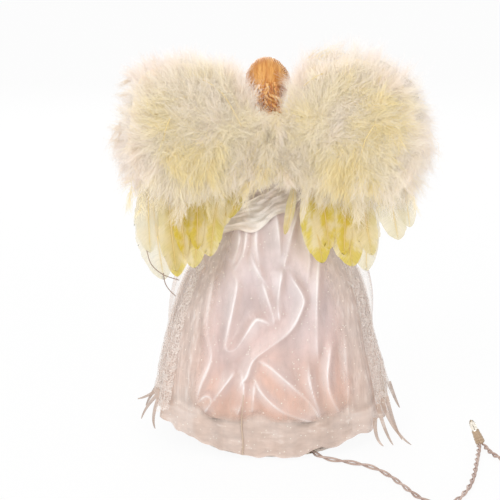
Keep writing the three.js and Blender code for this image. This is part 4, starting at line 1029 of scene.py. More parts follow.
def lace_sheet(middle):
    def place(across, along):
        angle = middle + LACE_HALF_ANGLE * (2 * across - 1)
        scallop = 4.0 * np.abs(np.sin(4 * math.pi * across))
        low = LACE_VALLEY - scallop
        high = LACE_TOP + 5.0 * np.abs(np.sin(3 * math.pi * across))
        return on_lace(angle, low + (high - low) * along)

    return cloth(60, 60, place)


print("net from", LACE_VALLEY, "to", LACE_TOP, "mm")

# %% [markdown]
# ## Lace leaves
# The leaves are thicker cloth, so they are geometry: short ribbons of a comb, pointed at both ends. They
# are laid on the skirt's surface point by point, so they follow its folds.

# %% Lace leaves
VINES = np.linspace(-0.8, 0.8, 6)
LEAF_HEIGHTS = np.arange(LACE_VALLEY + 4, LACE_TOP - 4, 7.5)
LEAF_WIDTH = 3.6
LACE_RADIUS = 62.0


def leaf_places(middle):
    """Angle, height, turn and length of every leaf, to one side and the other up wavering vines."""
    rows = []
    for vine in VINES:
        for step, height in enumerate(LEAF_HEIGHTS):
            sway = 0.06 * math.sin(height / 14 + 5 * vine)
            way = 1 if step % 2 else -1
            angle = middle + LACE_HALF_ANGLE * vine + sway
            turn = way * rng.uniform(0.5, 1.0)
            rows.append((angle, height + 2 * vine, turn, rng.uniform(7.5, 10.5)))
    return np.array(rows)


def lace_leaves(middle):
    rows = leaf_places(middle)
    mesh, number, side, along = comb(len(rows), 6)
    angle, height, turn, length = rows[number].T
    width = LEAF_WIDTH * np.sin(math.pi * np.clip(along, 0.02, 0.98)) ** 0.8
    forward = length * along
    across = (side - 0.5) * width
    sideways = forward * np.sin(turn) + across * np.cos(turn)
    up = forward * np.cos(turn) - across * np.sin(turn)
    move_points(mesh, on_lace(angle + sideways / LACE_RADIUS, height + up, 0.35))
    mesh.shade_smooth()
    return mesh


print(len(VINES) * len(LEAF_HEIGHTS), "leaves a side")

# %% [markdown]
# ## Lace tails and flaps
# Below, the lace ends in a few thin tails that stick out past the hem, each bent by hand. A tail is a
# ribbon through its root, a bend and a tip. Above, a loose flap of organza stands off the side of the
# skirt.

# %% Lace tails and flaps
LACE_TAILS = {
    "left": [
        [(6, 33), (97, 9, 27), (104, 10, 26)], [(10, 33), (98, 14, 22), (101, 16, 12)],
        [(14, 32), (94, 21, 15), (90, 24, 7)], [(-12, 32), (97, -16, 18), (100, -20, 9)],
    ],
    "right": [
        [(158, 32), (-90, 34, 8), (-104, 43, 1.5)], [(163, 32), (-92, 29, 10), (-98, 34, 2)],
        [(152, 30), (-84, 41, 10), (-90, 47, 3)], [(143, 24), (-75, 50, 9), (-82, 54, 5)],
        [(190, 32), (-97, -14, 16), (-101, -18, 8)],
    ],
}
TAIL_WIDTH = 2.9
TAIL_TIP_WIDTH = 0.6
TAIL_TWIST = 0.9
TAIL_DENSE = 0.85
FLAP_LOW = 90.0
FLAP_TALL = 42.0
FLAP_SLANT = 10.0
FLAP_ANGLE = math.radians(26)
FLAP_PEAK = 0.35
FLAP_OFFSET = 3.0
FLAP_STAND = 8.5
FLAP_DENSE = 0.3


def lace_tails(side):
    """Thin tails from the lace's edge, given as (degrees, height), through a bend to a tip."""
    rows = []
    for (degrees, height), bend, tip in LACE_TAILS[side]:
        start = on_lace(np.array([math.radians(degrees)]), np.array([height * 1.0]), 0.3)[0]
        rows.append([start, bend, tip])
    start, bend, tip = np.array(rows, float).transpose(1, 0, 2)
    mesh, number, edge, along = comb(len(rows), 14)
    t = along[:, None]
    middle = (1 - t) ** 2 * start[number] + 2 * t * (1 - t) * bend[number] + t**2 * tip[number]
    ahead = unit((1 - t) * (bend - start)[number] + t * (tip - bend)[number])
    across = unit(np.cross(ahead, np.array([0.2, 1.0, 0.3])))
    width = TAIL_WIDTH * (1 - along) ** 0.7 + TAIL_TIP_WIDTH
    points = middle + across * ((edge - 0.5) * width)[:, None]
    points[:, 1] += TAIL_TWIST * np.sin(math.pi * along) * (edge - 0.5)
    move_points(mesh, points)
    mesh.shade_smooth()
    tag(mesh, "dense", TAIL_DENSE)
    return mesh


def side_flap(middle, way):
    """A loose edge of organza that stands off the side below the wing."""
    def place(across, along):
        angle = middle + way * FLAP_ANGLE * (across - FLAP_PEAK)
        height = FLAP_LOW + FLAP_TALL * along - FLAP_SLANT * across * (1 - along)
        stand = FLAP_STAND * along**0.8 * (0.5 + 0.5 * np.cos(math.pi * (across - FLAP_PEAK)))
        return on_skirt(angle, height, FLAP_OFFSET + stand + 0.8 * np.sin(19 * across) * along)

    mesh = cloth(30, 36, place)
    tag(mesh, "dense", FLAP_DENSE)
    return mesh


for name, side in SIDES:
    middle = 0.0 if side > 0 else math.pi
    net = add_piece(f"lace_net_{name}", lace_sheet(middle), lace_net, [f"lace_{name}"])
    leaves = add_piece(f"lace_leaves_{name}", lace_leaves(middle), lace_leaf)
    tails = add_piece(f"lace_tails_{name}", lace_tails(name), lace_tail)
    flap = add_piece(f"organza_flap_{name}", side_flap(middle, side), organza)

# %% [markdown]
# ## Sash
# A loose organza sash crosses the back from the left hip up to the right side of the waist. It is crumpled
# along its length, so ridges that run with it are added to a strip of the skirt's surface.

# %% Sash
SASH_FIRST = math.radians(18)
SASH_LAST = math.radians(134)
SASH_LOW = 166.0
SASH_HIGH = 196.0
SASH_WIDTH = 23.0
SASH_OFFSET = 4.2
SASH_DENSE = 0.78
SASH_EDGE_DENSE = 0.1


def sash_place(across, along):
    angle = SASH_FIRST + (SASH_LAST - SASH_FIRST) * across
    wander = 1.6 * np.sin(9 * across + 1) + 0.8 * np.sin(23 * across)
    pinch = 0.72 + 0.28 * np.sin(math.pi * across) + 0.12 * np.sin(17 * across)
    height = SASH_LOW + (SASH_HIGH - SASH_LOW) * across + SASH_WIDTH * pinch * (along - 0.5) + wander
    ridges = 0.6 * np.sin(5.5 * math.pi * along + 3 * np.sin(7 * across))
    ridges += 0.3 * np.sin(13 * math.pi * along + 11 * across) + 0.3 * np.sin(40 * across + 9 * along)
    return on_skirt(angle, height, SASH_OFFSET + ridges)


sash_mesh = cloth(180, 36, sash_place)
# The points run row by row, so this is about 1 along the sash's two edges and 0 along its middle.
off_middle = np.abs(np.linspace(-1, 1, len(sash_mesh.vertices)))
tag(sash_mesh, "dense", SASH_DENSE + SASH_EDGE_DENSE * off_middle)
# The sash's crumples run along it and carry weaker painted glints.
sash_cloth = organza_finish("organza_sash", srgb(255, 238, 224), srgb(255, 248, 238), (90, 90, 260), 0.3)
sash = add_piece("organza_sash", sash_mesh, sash_cloth, ["sash"])

# %% [markdown]
# ## Doll's bust
# Torso, neck and head are one vinyl moulding. Torso and neck are a ring of cloth-like grid through ovals of
# known size. The head is a ball pressed into a plain calm doll's face by soft bumps and hollows in round
# numbers.

# %% Bust
TORSO_OVALS = np.array([
    (190.3, 16.5, 13.8), (197, 17, 14.1), (207.8, 20.5, 15.4), (220, 24.5, 16), (229.3, 28, 14.7),
    (235.5, 20.7, 11.5), (241, 10.4, 9.4), (247, 8, 8), (256, 7.6, 7.6),
])
HEAD_HALF = np.array([15.0, 16.5, 19.5])
HEAD_PIVOT = np.array([0.0, 0.0, 241.0])
HEAD_RISE = 26.25
HEAD_TILT = math.radians(9)


def oval_tube(grow, top, ripple=None):
    """A place function for a ring of cloth or skin round the torso, up to a height."""
    levels = through(TORSO_OVALS, 8)

    def place(across, along):
        angle = 2 * math.pi * across
        height = levels[0, 0] + (top - levels[0, 0]) * along
        extra = grow + (ripple(angle, height) if ripple else 0)
        wide = np.interp(height, levels[:, 0], levels[:, 1]) + extra
        deep = np.interp(height, levels[:, 0], levels[:, 2]) + extra
        return np.column_stack([wide * np.cos(angle), deep * np.sin(angle), height])

    return place


def on_head(points):
    """Places given from the head's middle, tilted as the head is."""
    x, y, z = np.asarray(points, float).T
    z = z + HEAD_RISE
    along = math.cos(HEAD_TILT)
    aside = math.sin(HEAD_TILT)
    return np.column_stack([x * along + z * aside, y, z * along - x * aside]) + HEAD_PIVOT


def dent(x, z, middle_x, middle_z, wide, tall):
    return np.exp(-(((x - middle_x) / wide) ** 2) - ((z - middle_z) / tall) ** 2)


def face_bumps(x, z):
    """How far the face stands out in front of the plain ball."""
    pair = np.abs(x)
    nose = 2.6 * dent(x, z, 0, -3.4, 1.7, 1.9) + 1.3 * dent(x, z, 0, 0.2, 1.5, 3.0)
    eyes = -1.2 * dent(pair, z, 5.6, 1.0, 2.9, 2.2)
    cheeks = 0.8 * dent(pair, z, 7.0, -4.6, 3.6, 3.6)
    lips = 1.0 * dent(x, z, 0, -8.6, 3.2, 1.4) - 0.4 * dent(x, z, 0, -8.5, 2.7, 0.35)
    chin = 2.0 * dent(x, z, 0, -14.2, 4.6, 3.6)
    return nose + eyes + cheeks + lips + chin


def narrowed(x, z):
    return x * (1 - 0.15 * smoothstep(-2, -17, z))


def head_mesh():
    bm = bmesh.new()
    bmesh.ops.create_uvsphere(bm, u_segments=112, v_segments=80, radius=1)
    mesh = mesh_from(bm)
    ways = points_of(mesh)
    points = ways * HEAD_HALF
    front = smoothstep(0.15, 0.6, -ways[:, 1])
    points[:, 1] -= front * face_bumps(points[:, 0], points[:, 2])
    points[:, 0] = narrowed(points[:, 0], points[:, 2])
    move_points(mesh, on_head(points))
    return mesh


skin = mottled("doll_skin", 0.42, srgb(239, 200, 178), srgb(245, 214, 194), 45.0, grain=(900.0, 0.00006, 0.4),
               Subsurface_Weight=0.15, Subsurface_Scale=0.002, Subsurface_Radius=(1.0, 0.4, 0.25))
torso = cloth(64, 60, oval_tube(-0.1, 256.0), closed=True)
add_piece("doll_bust", one_mesh([torso, head_mesh()]), skin, ["bust"])

# %% [markdown]
# ## Painted face
# The features are paint on vinyl: small patches that lie just off the face. Each is a disc of grid laid on
# the same bumps as the face, so no edge of it floats. Brows and lashes are fine strands.

# %% Painted face


def face_depth(x, z, lift):
    """Depth of a place on the front of the head that is a lift away from the face."""
    ball = np.sqrt(np.clip(1 - (x / HEAD_HALF[0]) ** 2 - (z / HEAD_HALF[2]) ** 2, 0, 1))
    return -HEAD_HALF[1] * ball - face_bumps(x, z) - lift


def face_patch(middle, half, lift, lid):
    """A rounded patch on the face, drawn in above where lid is over 0."""
    def place(across, along):
        angle = 2 * math.pi * across
        x = middle[0] + half[0] * along * np.cos(angle)
        z = middle[1] + half[1] * along * np.sin(angle) * (1 - lid * (np.sin(angle) > 0))
        return on_head(np.column_stack([narrowed(x, z), face_depth(x, z, lift), z]))

    return cloth(28, 6, place, closed=True)


def face_strand(places, radius):
    x, z = through(places, 5).T
    fade = np.sin(math.pi * np.linspace(0.08, 0.92, len(x)))
    return list(zip(on_head(np.column_stack([x, face_depth(x, z, 0.12), z])), radius * fade))


def paint(name, seen, roughness):
    dark = tuple(0.82 * value for value in seen[:3]) + (1.0,)
    return mottled(name, roughness, seen, dark, 700.0, stops=(0.2, 0.9))


# Colour and roughness, and each patch's middle, half sizes, lift off the face and lid.
PAINTED = [
    ("eye_white", srgb(246, 243, 238), 0.2, [((s * 5.5, 0.9), (2.3, 1.35), 0.10, 0.1) for s in (1, -1)]),
    ("eye_iris", srgb(96, 122, 150), 0.15, [((s * 5.4, 0.9), (1.05, 1.15), 0.18, 0.1) for s in (1, -1)]),
    ("eye_pupil", srgb(30, 26, 26), 0.1, [((s * 5.4, 0.95), (0.5, 0.55), 0.24, 0) for s in (1, -1)]),
    ("lips", srgb(206, 112, 108), 0.3, [((0, -8.1), (2.5, 0.75), 0.10, 0), ((0, -9.2), (2.0, 0.8), 0.10, 0)]),
]
for name, seen, roughness, patches in PAINTED:
    shapes = [face_patch(*patch) for patch in patches]
    add_piece(f"painted_{name}", one_mesh(shapes), paint(f"paint_{name}", seen, roughness))

LASH = [(3.1, 0.9), (4.4, 2.05), (6.2, 2.2), (8.1, 1.2)]
BROW = [(3.0, 4.6), (5.0, 5.5), (7.0, 5.4), (8.8, 4.5)]
face_lines = []
for s in (1, -1):
    for places, radius in ((LASH, 0.24), (BROW, 0.3)):
        face_lines.append(face_strand([(s * x, z) for x, z in places], radius))
add_piece("painted_brows", strands(face_lines), paint("paint_brow", srgb(122, 78, 40), 0.5))

# %% [markdown]
# ## Hair
# The wig is orange-blond fibre, combed back from the hairline over the crown to a gather at the back, with
# tousled curls hanging from it. A cap cut from a ball is the base, so that no skin shows between the locks.
# Streaks drawn out by the texture's mapping stand for the single fibres.

# %% Hair
HAIR_HALF = HEAD_HALF + 1.7
HAIRLINE_WAY = Vector((0, 0.616, 0.788))
HAIRLINE_REACH = 2.7


def hair_finish(name, dark, light):
    material, tree, shader = new_finish(name, 0.38, Specular_IOR_Level=0.55)
    streaks = drawn_noise(tree, place_of(tree), (430, 70, 70))
    colour_with(tree, shader, ramp(tree, streaks, [(0.3, dark), (0.72, light)]))
    return material


hair_base = hair_finish("hair_base", srgb(176, 102, 36), srgb(220, 148, 68))
hair_lock = hair_finish("hair_lock", srgb(198, 124, 48), srgb(246, 190, 110))
hair_curl = hair_finish("hair_curl", srgb(242, 178, 104), srgb(255, 216, 152))
hair_dark = hair_finish("hair_dark", srgb(190, 118, 58), srgb(226, 158, 92))


def hair_cap():
    bm = bmesh.new()
    bmesh.ops.create_uvsphere(bm, u_segments=64, v_segments=40, radius=1)
    bmesh.ops.scale(bm, vec=HAIR_HALF - 0.5, verts=bm.verts)
    bmesh.ops.bisect_plane(bm, geom=[*bm.verts, *bm.edges, *bm.faces], plane_co=HAIRLINE_WAY * HAIRLINE_REACH,
                           plane_no=HAIRLINE_WAY, clear_inner=True)
    rim = [edge for edge in bm.edges if edge.is_boundary]
    under = bmesh.ops.extrude_edge_only(bm, edges=rim)["geom"]
    bmesh.ops.scale(bm, vec=(0.86, 0.86, 0.95), verts=[v for v in under if isinstance(v, bmesh.types.BMVert)])
    mesh = mesh_from(bm)
    move_points(mesh, on_head(points_of(mesh)))
    mesh.shade_smooth()
    return mesh


add_piece("hair_cap", hair_cap(), hair_base, ["wig_cap"])

# %% [markdown]
# ## Locks and curls
# A particle system could grow single hairs, but a wig of coarse fibre shows locks, and those can be placed
# by hand. Combed locks run over the cap as strands from the hairline to the gather. Each curl is a strand
# wound about a line that falls from the gather.

# %% Locks and curls
GATHER_WAY = unit(np.array([0.02, 0.97, 0.05]))
COMBED_LOCKS = 46
CURLS = 60
OUTER_CURLS = 42


def combed_lock(turn, lift):
    """One lock over the head, from the hairline at an angle round the crown to the gather."""
    start = unit(np.array([math.sin(turn) * 0.95, -0.62 + 0.5 * abs(math.sin(turn)), math.cos(turn) * 0.95]))
    share = np.linspace(0, 1, 18)[:, None]
    bent = unit(start * (1 - share) + GATHER_WAY * share + np.array([0, 0.12, 0.1]) * np.sin(math.pi * share))
    wave = 0.012 * np.sin(9 * share + 7 * turn) * np.array([1.0, 0, 0.3])
    points = (bent + wave) * (HAIR_HALF + lift)
    points += np.array([2.4 * math.sin(turn), 0, 0]) * smoothstep(0.6, 1, share)
    width = 0.25 + 0.42 * np.sin(math.pi * np.linspace(0.12, 0.94, 18)) ** 0.6
    return list(zip(on_head(points), width))


def curl(start, length, wind, pitch, way):
    """A strand wound about a line that falls from the gather."""
    steps = np.linspace(0, 1, max(10, int(length * 1.1)))
    angle = 2 * math.pi * length * steps / pitch + start[0]
    grown = wind * smoothstep(0, 0.3, steps)
    x = start[0] + way * steps * length * 0.25 + grown * np.cos(angle)
    y = start[1] + grown * np.sin(angle) + 2.2 * np.sin(math.pi * steps)
    z = start[2] - length * steps * 0.93
    size = 0.95 * (1 - 0.5 * steps)
    return list(zip(on_head(np.column_stack([x, y, z])), size))


locks = [combed_lock(turn, rng.uniform(-0.4, 0.1)) for turn in np.linspace(-1.75, 1.75, COMBED_LOCKS)]
curls = []
for _ in range(CURLS):
    begin = (rng.normal(0.6, 4.2), rng.uniform(17.0, 20.5), rng.uniform(-7, 5))
    length, wind, pitch = rng.uniform(16, 38), rng.uniform(0.9, 2.0), rng.uniform(8, 13)
    curls.append(curl(begin, length, wind, pitch, rng.uniform(-0.55, 0.55)))
add_piece("hair_combed", strands(locks), hair_lock)
add_piece("hair_curls", strands(curls[:OUTER_CURLS]), hair_curl,
          ["ringlet_left", "ringlet_centre", "ringlet_right"])
add_piece("hair_under_curls", strands(curls[OUTER_CURLS:]), hair_dark)

# %% [markdown]
# ## Bodice
# The bodice is satin gathered at waist and neck. It is the torso's own ring of ovals, grown by a millimetre
# and rippled where the gathers are, so it fits the bust all round. A Solidify modifier gives the cloth its
# wall.

# %% Bodice
BODICE_WALL = 0.4


def bodice_ripple(angle, height):
    waist = smoothstep(212, 192, height)
    neck = smoothstep(226, 236, height)
    return 0.55 * np.cos(26 * angle + 2 * np.sin(3 * angle)) * (0.25 + 0.75 * np.maximum(waist, neck))


bodice_mesh = cloth(220, 60, oval_tube(1.0, 236.0, bodice_ripple), closed=True)
bodice = add_piece("satin_bodice", bodice_mesh, satin, ["bodice"])
thicken(bodice, BODICE_WALL)

# %% [markdown]
# ## Sleeves and hands
# Each sleeve is a puffed organza tube along the bent arm, drawn in where it meets the shoulder and open at
# the cuff. It is a ring of grid through stations of known radius, with ripples that grow at both gathers.
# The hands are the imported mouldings, smoothed by subdivision.

# %% Sleeves and hands
SLEEVE_DENSE = 0.78
SHOULDER = np.array([28.0, -1.0, 227.3])
ELBOW = np.array([45.0, -12.0, 198.3])
CUFF = np.array([16.0, -47.0, 206.3])
FOREARM_SAG = 4.0


def forearm(share):
    return ELBOW + (CUFF - ELBOW) * share - np.array([0, 0, 4 * FOREARM_SAG * share * (1 - share)])


UPPER_ARM = (SHOULDER + ELBOW) / 2 + np.array([6.0, 0, 0])
SLEEVE_STATIONS = [
    ((30.1, -1, 227.3), 2.2), ((33.1, -1, 226.8), 8), ((35.5, -3.2, 222.5), 11), (UPPER_ARM, 10.6),
    (ELBOW, 9.2), (forearm(0.35), 9.6), (forearm(0.65), 10.2), (CUFF, 11.5),
]


def sleeve_place(side):
    middle = through([place for place, _ in SLEEVE_STATIONS], 10)
    radii = through([(radius, 0, 0) for _, radius in SLEEVE_STATIONS], 10)[:, 0]
    ahead = unit(np.gradient(middle, axis=0))
    first = unit(np.cross(ahead, (0, 0.35, 1)))
    second = np.cross(ahead, first)

    def place(across, along):
        at = np.clip(along * (len(middle) - 1), 0, len(middle) - 1)
        pick = np.rint(at).astype(int)
        angle = 2 * math.pi * across
        gather = np.maximum(smoothstep(0.3, 0.0, along), smoothstep(0.8, 1.0, along))
        ripple = (0.35 + 0.8 * gather) * np.cos(14 * angle + 3 * np.sin(6 * along))
        crumple = 0.5 * np.sin(3 * angle + 31 * along)
        radius = radii[pick] + (ripple + crumple) * np.clip(radii[pick] / 8, 0, 1)
        points = middle[pick] + first[pick] * (radius * np.cos(angle))[:, None]
        points = points + second[pick] * (radius * np.sin(angle))[:, None]
        return points * (side, 1, 1)

    return place, len(middle) - 1


for name, side in SIDES:
    arm = f"arm_{name}"
    place, rows = sleeve_place(side)
    sleeve_mesh = cloth(112, rows, place, closed=True)
    tag(sleeve_mesh, "dense", SLEEVE_DENSE)
    sleeve = add_piece(f"sleeve_puff_{name}", sleeve_mesh, sash_cloth, [f"sleeve_{name}"], arm)
    hand_mesh = moulded_copy(f"hand_{name}", 0)
    hand = add_piece(f"doll_hand_{name}", hand_mesh, skin, [f"hand_{name}"], arm)
    rounding = hand.modifiers.new("rounding", "SUBSURF")
    rounding.levels = 2
    rounding.render_levels = 2

# %% [markdown]
# ## Wing shape
# Each wing is a card covered in marabou down. Everything on it is worked out in the wing's own frame, with
# x out from the fold, y to the back and z up, and then placed by one matrix. The outline is a smooth line
# through a few points for each side, because the two wings are fluffed differently. A dome over it gives
# the height of the down, and a field of directions says how it is combed: outwards above, and down in the
# lower half.

# %% Wing frame
WING_PIVOT = np.array([0.0, 21.0, 232.0])
WING_TILT = math.radians(12)
WING_SWEEP = math.radians(12)
HINGE_SPACING = 10.0
WING_MIDDLE = np.array([58.0, 4.0])
HEAD_ROOM = {"left": 25.0, "right": 14.0}
CURL_ROOM = {"left": 15.0, "right": 8.0}
FOLD_ROOM = 5.0
COMB_ORIGIN = np.array([30.0, 6.0])
WING_OUTLINES = {
    "left": [
        (9, 45), (20, 57), (44, 61), (61, 64), (74, 63), (97, 57), (107, 45), (111, 28), (114, 5), (115, -10),
        (111, -27), (103, -39), (92, -48), (70, -52), (45, -51), (22, -44), (6, -28), (-6, -6), (-4, 14),
        (6, 30),
    ],
    "right": [
        (3, 48), (14, 60), (36, 66), (48, 69), (62, 67), (76, 61), (90, 52), (100, 42), (106, 28), (110, 12),
        (112, -2), (111, -18), (108, -34), (102, -44), (89, -50), (66, -53), (40, -51), (15, -44), (0, -28),
        (-9, -6), (-7, 18), (-2, 34),
    ],
}


def polar_outline(points):
    """An outline as angles and reaches about the wing's middle."""
    line = through([*points, points[0]], 6)[:-1] - WING_MIDDLE
    angle = np.arctan2(line[:, 1], line[:, 0])
    order = np.argsort(angle)
    return angle[order], np.hypot(line[:, 0], line[:, 1])[order]


POLAR_OUTLINES = {name: polar_outline(points) for name, points in WING_OUTLINES.items()}


def wing_matrix(side):
    place = Matrix.Translation(WING_PIVOT) @ Matrix.Rotation(WING_TILT, 4, "X")
    place = place @ Matrix.Translation((side * HINGE_SPACING / 2, 0, 0))
    place = place @ Matrix.Rotation(side * WING_SWEEP, 4, "Z")
    return np.array(place @ Matrix.Diagonal((side, 1, 1, 1)))


def placed(points, matrix):
    return points @ matrix[:3, :3].T + matrix[:3, 3]


def from_wing(points, side):
    return placed(points, wing_matrix(side))


def outline_reach(name, angle):
    return np.interp(angle, *POLAR_OUTLINES[name], period=2 * math.pi)


def dome(name, x, z, depth):
    """Height of the down over a place on the wing."""
    x = x - WING_MIDDLE[0]
    z = z - WING_MIDDLE[1]
    share = np.hypot(x, z) / outline_reach(name, np.arctan2(z, x))
    return depth * np.clip(1 - share**2.4, 0, 1) ** 0.55


def combed(x, z):
    """Direction of the down at a place: out from the comb's origin above, and downwards below."""
    out = unit(np.column_stack([x - COMB_ORIGIN[0], z - COMB_ORIGIN[1]]))
    fan = unit(np.column_stack([0.006 * (x - COMB_ORIGIN[0]), np.full(len(x), -1.0)]))
    low = smoothstep(8, -26, z)[:, None]
    return unit(out * (1 - low) + fan * low)


def inner_edge(name, up):
    """How far in the down may reach: to the fold below, then to the curls, and to the hair at the top."""
    by_curls = (CURL_ROOM[name] - FOLD_ROOM) * smoothstep(0, 20, up)
    return FOLD_ROOM + by_curls + (HEAD_ROOM[name] - CURL_ROOM[name]) * smoothstep(30, 48, up)


print("wing frame at", WING_PIVOT.tolist())

# %% [markdown]
# ## Down finish
# Marabou is bleached or dyed down, never one white: some plumes are pinkish, some cream and some yellow. A
# tint for each plume and the share along each barb, both kept on the points, choose the colour. Some of the
# light goes through a barb, as it does in real down, and more of it at the wing's loose rim.

# %% Down finish
TINT_STOPS = (0.0, 0.35, 0.7, 1.0)
FIBRE_TONES = [
    (0.0, srgb(254, 248, 236)), (0.35, srgb(255, 252, 244)), (0.8, srgb(255, 253, 248)),
    (1.0, srgb(255, 253, 254)),
]


def down_finish(name, tints, share):
    """Down of a chosen range of tints, through which a share of the light passes."""
    material, tree, shader = new_finish(name, 0.9, Specular_IOR_Level=0.2)
    tone = ramp(tree, attribute(tree, "tint"), list(zip(TINT_STOPS, tints)))
    colour = times(tree, ramp(tree, attribute(tree, "along"), FIBRE_TONES), tone)
    colour_with(tree, shader, colour)
    show(tree, let_through(tree, shader, colour, share))
    return material


marabou = down_finish("marabou_down", [
    srgb(254, 246, 241), srgb(255, 250, 243), srgb(255, 249, 231), srgb(254, 243, 200)], 0.3)
marabou_fringe = down_finish("marabou_fringe", [
    srgb(255, 249, 250), srgb(254, 252, 254), srgb(255, 253, 252), srgb(255, 252, 242)], 0.5)


print("two kinds of down ready")

# %% [markdown]
# ## Barbs
# A marabou plume is a short soft quill with long loose barbs. Hair particles can give such down, but they
# would be lost in the exported mesh, so each barb is a thin ribbon. A plume is a bent line, and its barbs
# leave it at a wide angle near the root and a narrow one near the tip, in locks that share a direction. All
# barbs of one layer are ribbons of a single comb.

# %% Barbs
BARB_SEGMENTS = 4
BARBS = 175
BARB_WIDTH = 0.29


def quill_at(plumes, number, share):
    """Place and direction on a plume's bent quill."""
    root, knee, tip = (plumes[key][number] for key in ("root", "knee", "tip"))
    s = share[:, None]
    place = (1 - s) ** 2 * root + 2 * s * (1 - s) * knee + s**2 * tip
    return place, unit((1 - s) * (knee - root) + s * (tip - knee))


def plume_barbs(plumes, barbs, width, matrix):
    """Every barb of a layer of plumes, as ribbons of one comb placed by a matrix."""
    count = len(plumes["root"])
    total = count * barbs
    number = np.repeat(np.arange(count), barbs)
    share = 0.04 + 0.94 * rng.random(total) ** 0.8
    hand = np.where(rng.random(total) < 0.5, -1.0, 1.0)
    base, ahead = quill_at(plumes, number, share)
    face = plumes["face"][number]
    beside = unit(np.cross(ahead, face))
    lock = (share * 4).astype(int) + 10 * (hand > 0) + 20 * number
    sway = rng.normal(0, 1, (20 * count, 3))[lock]
    spread = (0.95 - 0.65 * share + rng.normal(0, 0.14, total))[:, None]
    first = ahead * np.cos(spread) + beside * (hand[:, None] * np.sin(spread))
    first = first + face * rng.normal(0.2, 0.28, total)[:, None] + 0.08 * sway
    last = ahead + beside * (0.35 * hand * (1 - share))[:, None] + 0.16 * sway
    last = last + face * rng.normal(0, 0.25, total)[:, None] + 0.24 * rng.normal(0, 1, (total, 3))
    waver = 0.09 * rng.normal(0, 1, (total, 3))
    length = plumes["length"][number] * (1 - 0.4 * share) * rng.uniform(0.6, 1.25, total)
    mesh, barb, side, along = comb(total, BARB_SEGMENTS)
    t = along[:, None]
    bent = (t - t**2 / 2) * first[barb] + t**2 / 2 * last[barb] + np.sin(2 * math.pi * t) * waver[barb]
    middle = base[barb] + length[barb][:, None] * bent
    towards = unit((1 - t) * first[barb] + t * last[barb])
    tilt = face + 0.28 * rng.normal(0, 1, (total, 3))
    across = unit(np.cross(towards, tilt[barb]))
    size = width * (1 - 0.75 * along) * (side - 0.5)
    points = middle + across * size[:, None]
    move_points(mesh, placed(points, matrix))
    tag(mesh, "along", np.clip(0.3 * share[barb] + 0.75 * along, 0, 1))
    tag(mesh, "tint", np.clip(plumes["tint"][number] + rng.normal(0, 0.05, total), 0, 1)[barb])
    return mesh


print(BARBS, "barbs on a full plume")

# %% [markdown]
# ## Rings of plumes
# On a real wing the plumes are glued on in rows, from the edge to the middle, each row over the roots of
# the last. So the tips here stand in rings on the dome of the wing. The front layer lies flatter near the
# head and keeps off the bodice, which leaves room for the wing to bend.

# %% Rings of plumes
FRONT_INSET = 13.0
FRONT_FULL = 36.0
BODICE_TOP = 6.0
BODICE_SIDE = 44.0
WING_TINT = {"left": 0.3, "right": 0.42}
TINT_SPREAD = 0.18
MIDDLE_YELLOW = 0.26
LOW_YELLOW = 0.4
PATCH_YELLOW = 0.26
RIM_PALE = 0.25
COMB_SWING = 0.42
PLUME_STAND = 7.0
ROOT_DEPTH = 0.6
TIP_DEPTH = 0.82
BARB_SHARE = 0.6


def wing_plumes(name, depth, rings, inset, shift):
    """Plumes whose tips stand in rings on the wing's dome, each (share, count, length)."""
    rows = {key: [] for key in ("root", "knee", "tip", "face", "length", "tint")}
    sign = 1 if depth > 0 else -1
    for ring, (reach, count, long) in enumerate(rings):
        angle = 2 * math.pi * (np.arange(count) + 0.5 * (ring % 2) + rng.uniform(-0.3, 0.3, count)) / count
        out = (reach + rng.uniform(-0.05, 0.05, count)) * outline_reach(name, angle)
        tip_x = WING_MIDDLE[0] + out * np.cos(angle)
        tip_z = WING_MIDDLE[1] + out * np.sin(angle)
        tip_x = np.maximum(tip_x, inner_edge(name, tip_z) + rng.uniform(0, 5, count))
        way = combed(tip_x, tip_z)
        swing = rng.normal(0, COMB_SWING, count)
        way = np.column_stack([way[:, 0] * np.cos(swing) - way[:, 1] * np.sin(swing),
                               way[:, 0] * np.sin(swing) + way[:, 1] * np.cos(swing)])
        size = long * rng.uniform(0.8, 1.2, count)
        root_x, root_z = tip_x - way[:, 0] * size, tip_z - way[:, 1] * size
        keep = (root_x > 3) & (tip_x > inset)
        stand = rng.uniform(0, PLUME_STAND, count)
        if sign < 0:
            keep = keep & ((tip_x > BODICE_SIDE) | (root_z > BODICE_TOP))
            stand = stand * smoothstep(FRONT_INSET, FRONT_FULL, tip_x)
        low = dome(name, root_x, root_z, depth) * ROOT_DEPTH + shift
        high = dome(name, tip_x, tip_z, depth) * TIP_DEPTH + shift + sign * stand
        root = np.column_stack([root_x, low, root_z])[keep]
        tip = np.column_stack([tip_x, high, tip_z])[keep]
        outwards = np.column_stack([np.cos(angle), 0 * angle, np.sin(angle)])[keep]
        lean = (0.5 + 3.0 * max(0, reach - 0.7)) * reach * outwards
        face = unit(lean + np.array([0, sign, 0]))
        yellow = MIDDLE_YELLOW * smoothstep(0.85, 0.35, reach) + LOW_YELLOW * smoothstep(-2, -42, tip[:, 2])
        patch = PATCH_YELLOW * np.sin(0.075 * tip[:, 0] + 1.0) * np.sin(0.07 * tip[:, 2] + 0.6)
        pale = RIM_PALE * smoothstep(0.62, 0.78, reach)
        rows["root"].append(root)
        rows["tip"].append(tip)
        rows["knee"].append((root + tip) / 2 + face * rng.uniform(2, 6, len(root))[:, None])
        rows["face"].append(face)
        rows["length"].append(np.full(len(root), long * BARB_SHARE))
        tint = rng.normal(WING_TINT[name], TINT_SPREAD, len(root)) + yellow + patch - pale
        rows["tint"].append(np.clip(tint, 0, 1))
    return {key: np.concatenate(values) for key, values in rows.items()}


print("wing tints", WING_TINT)

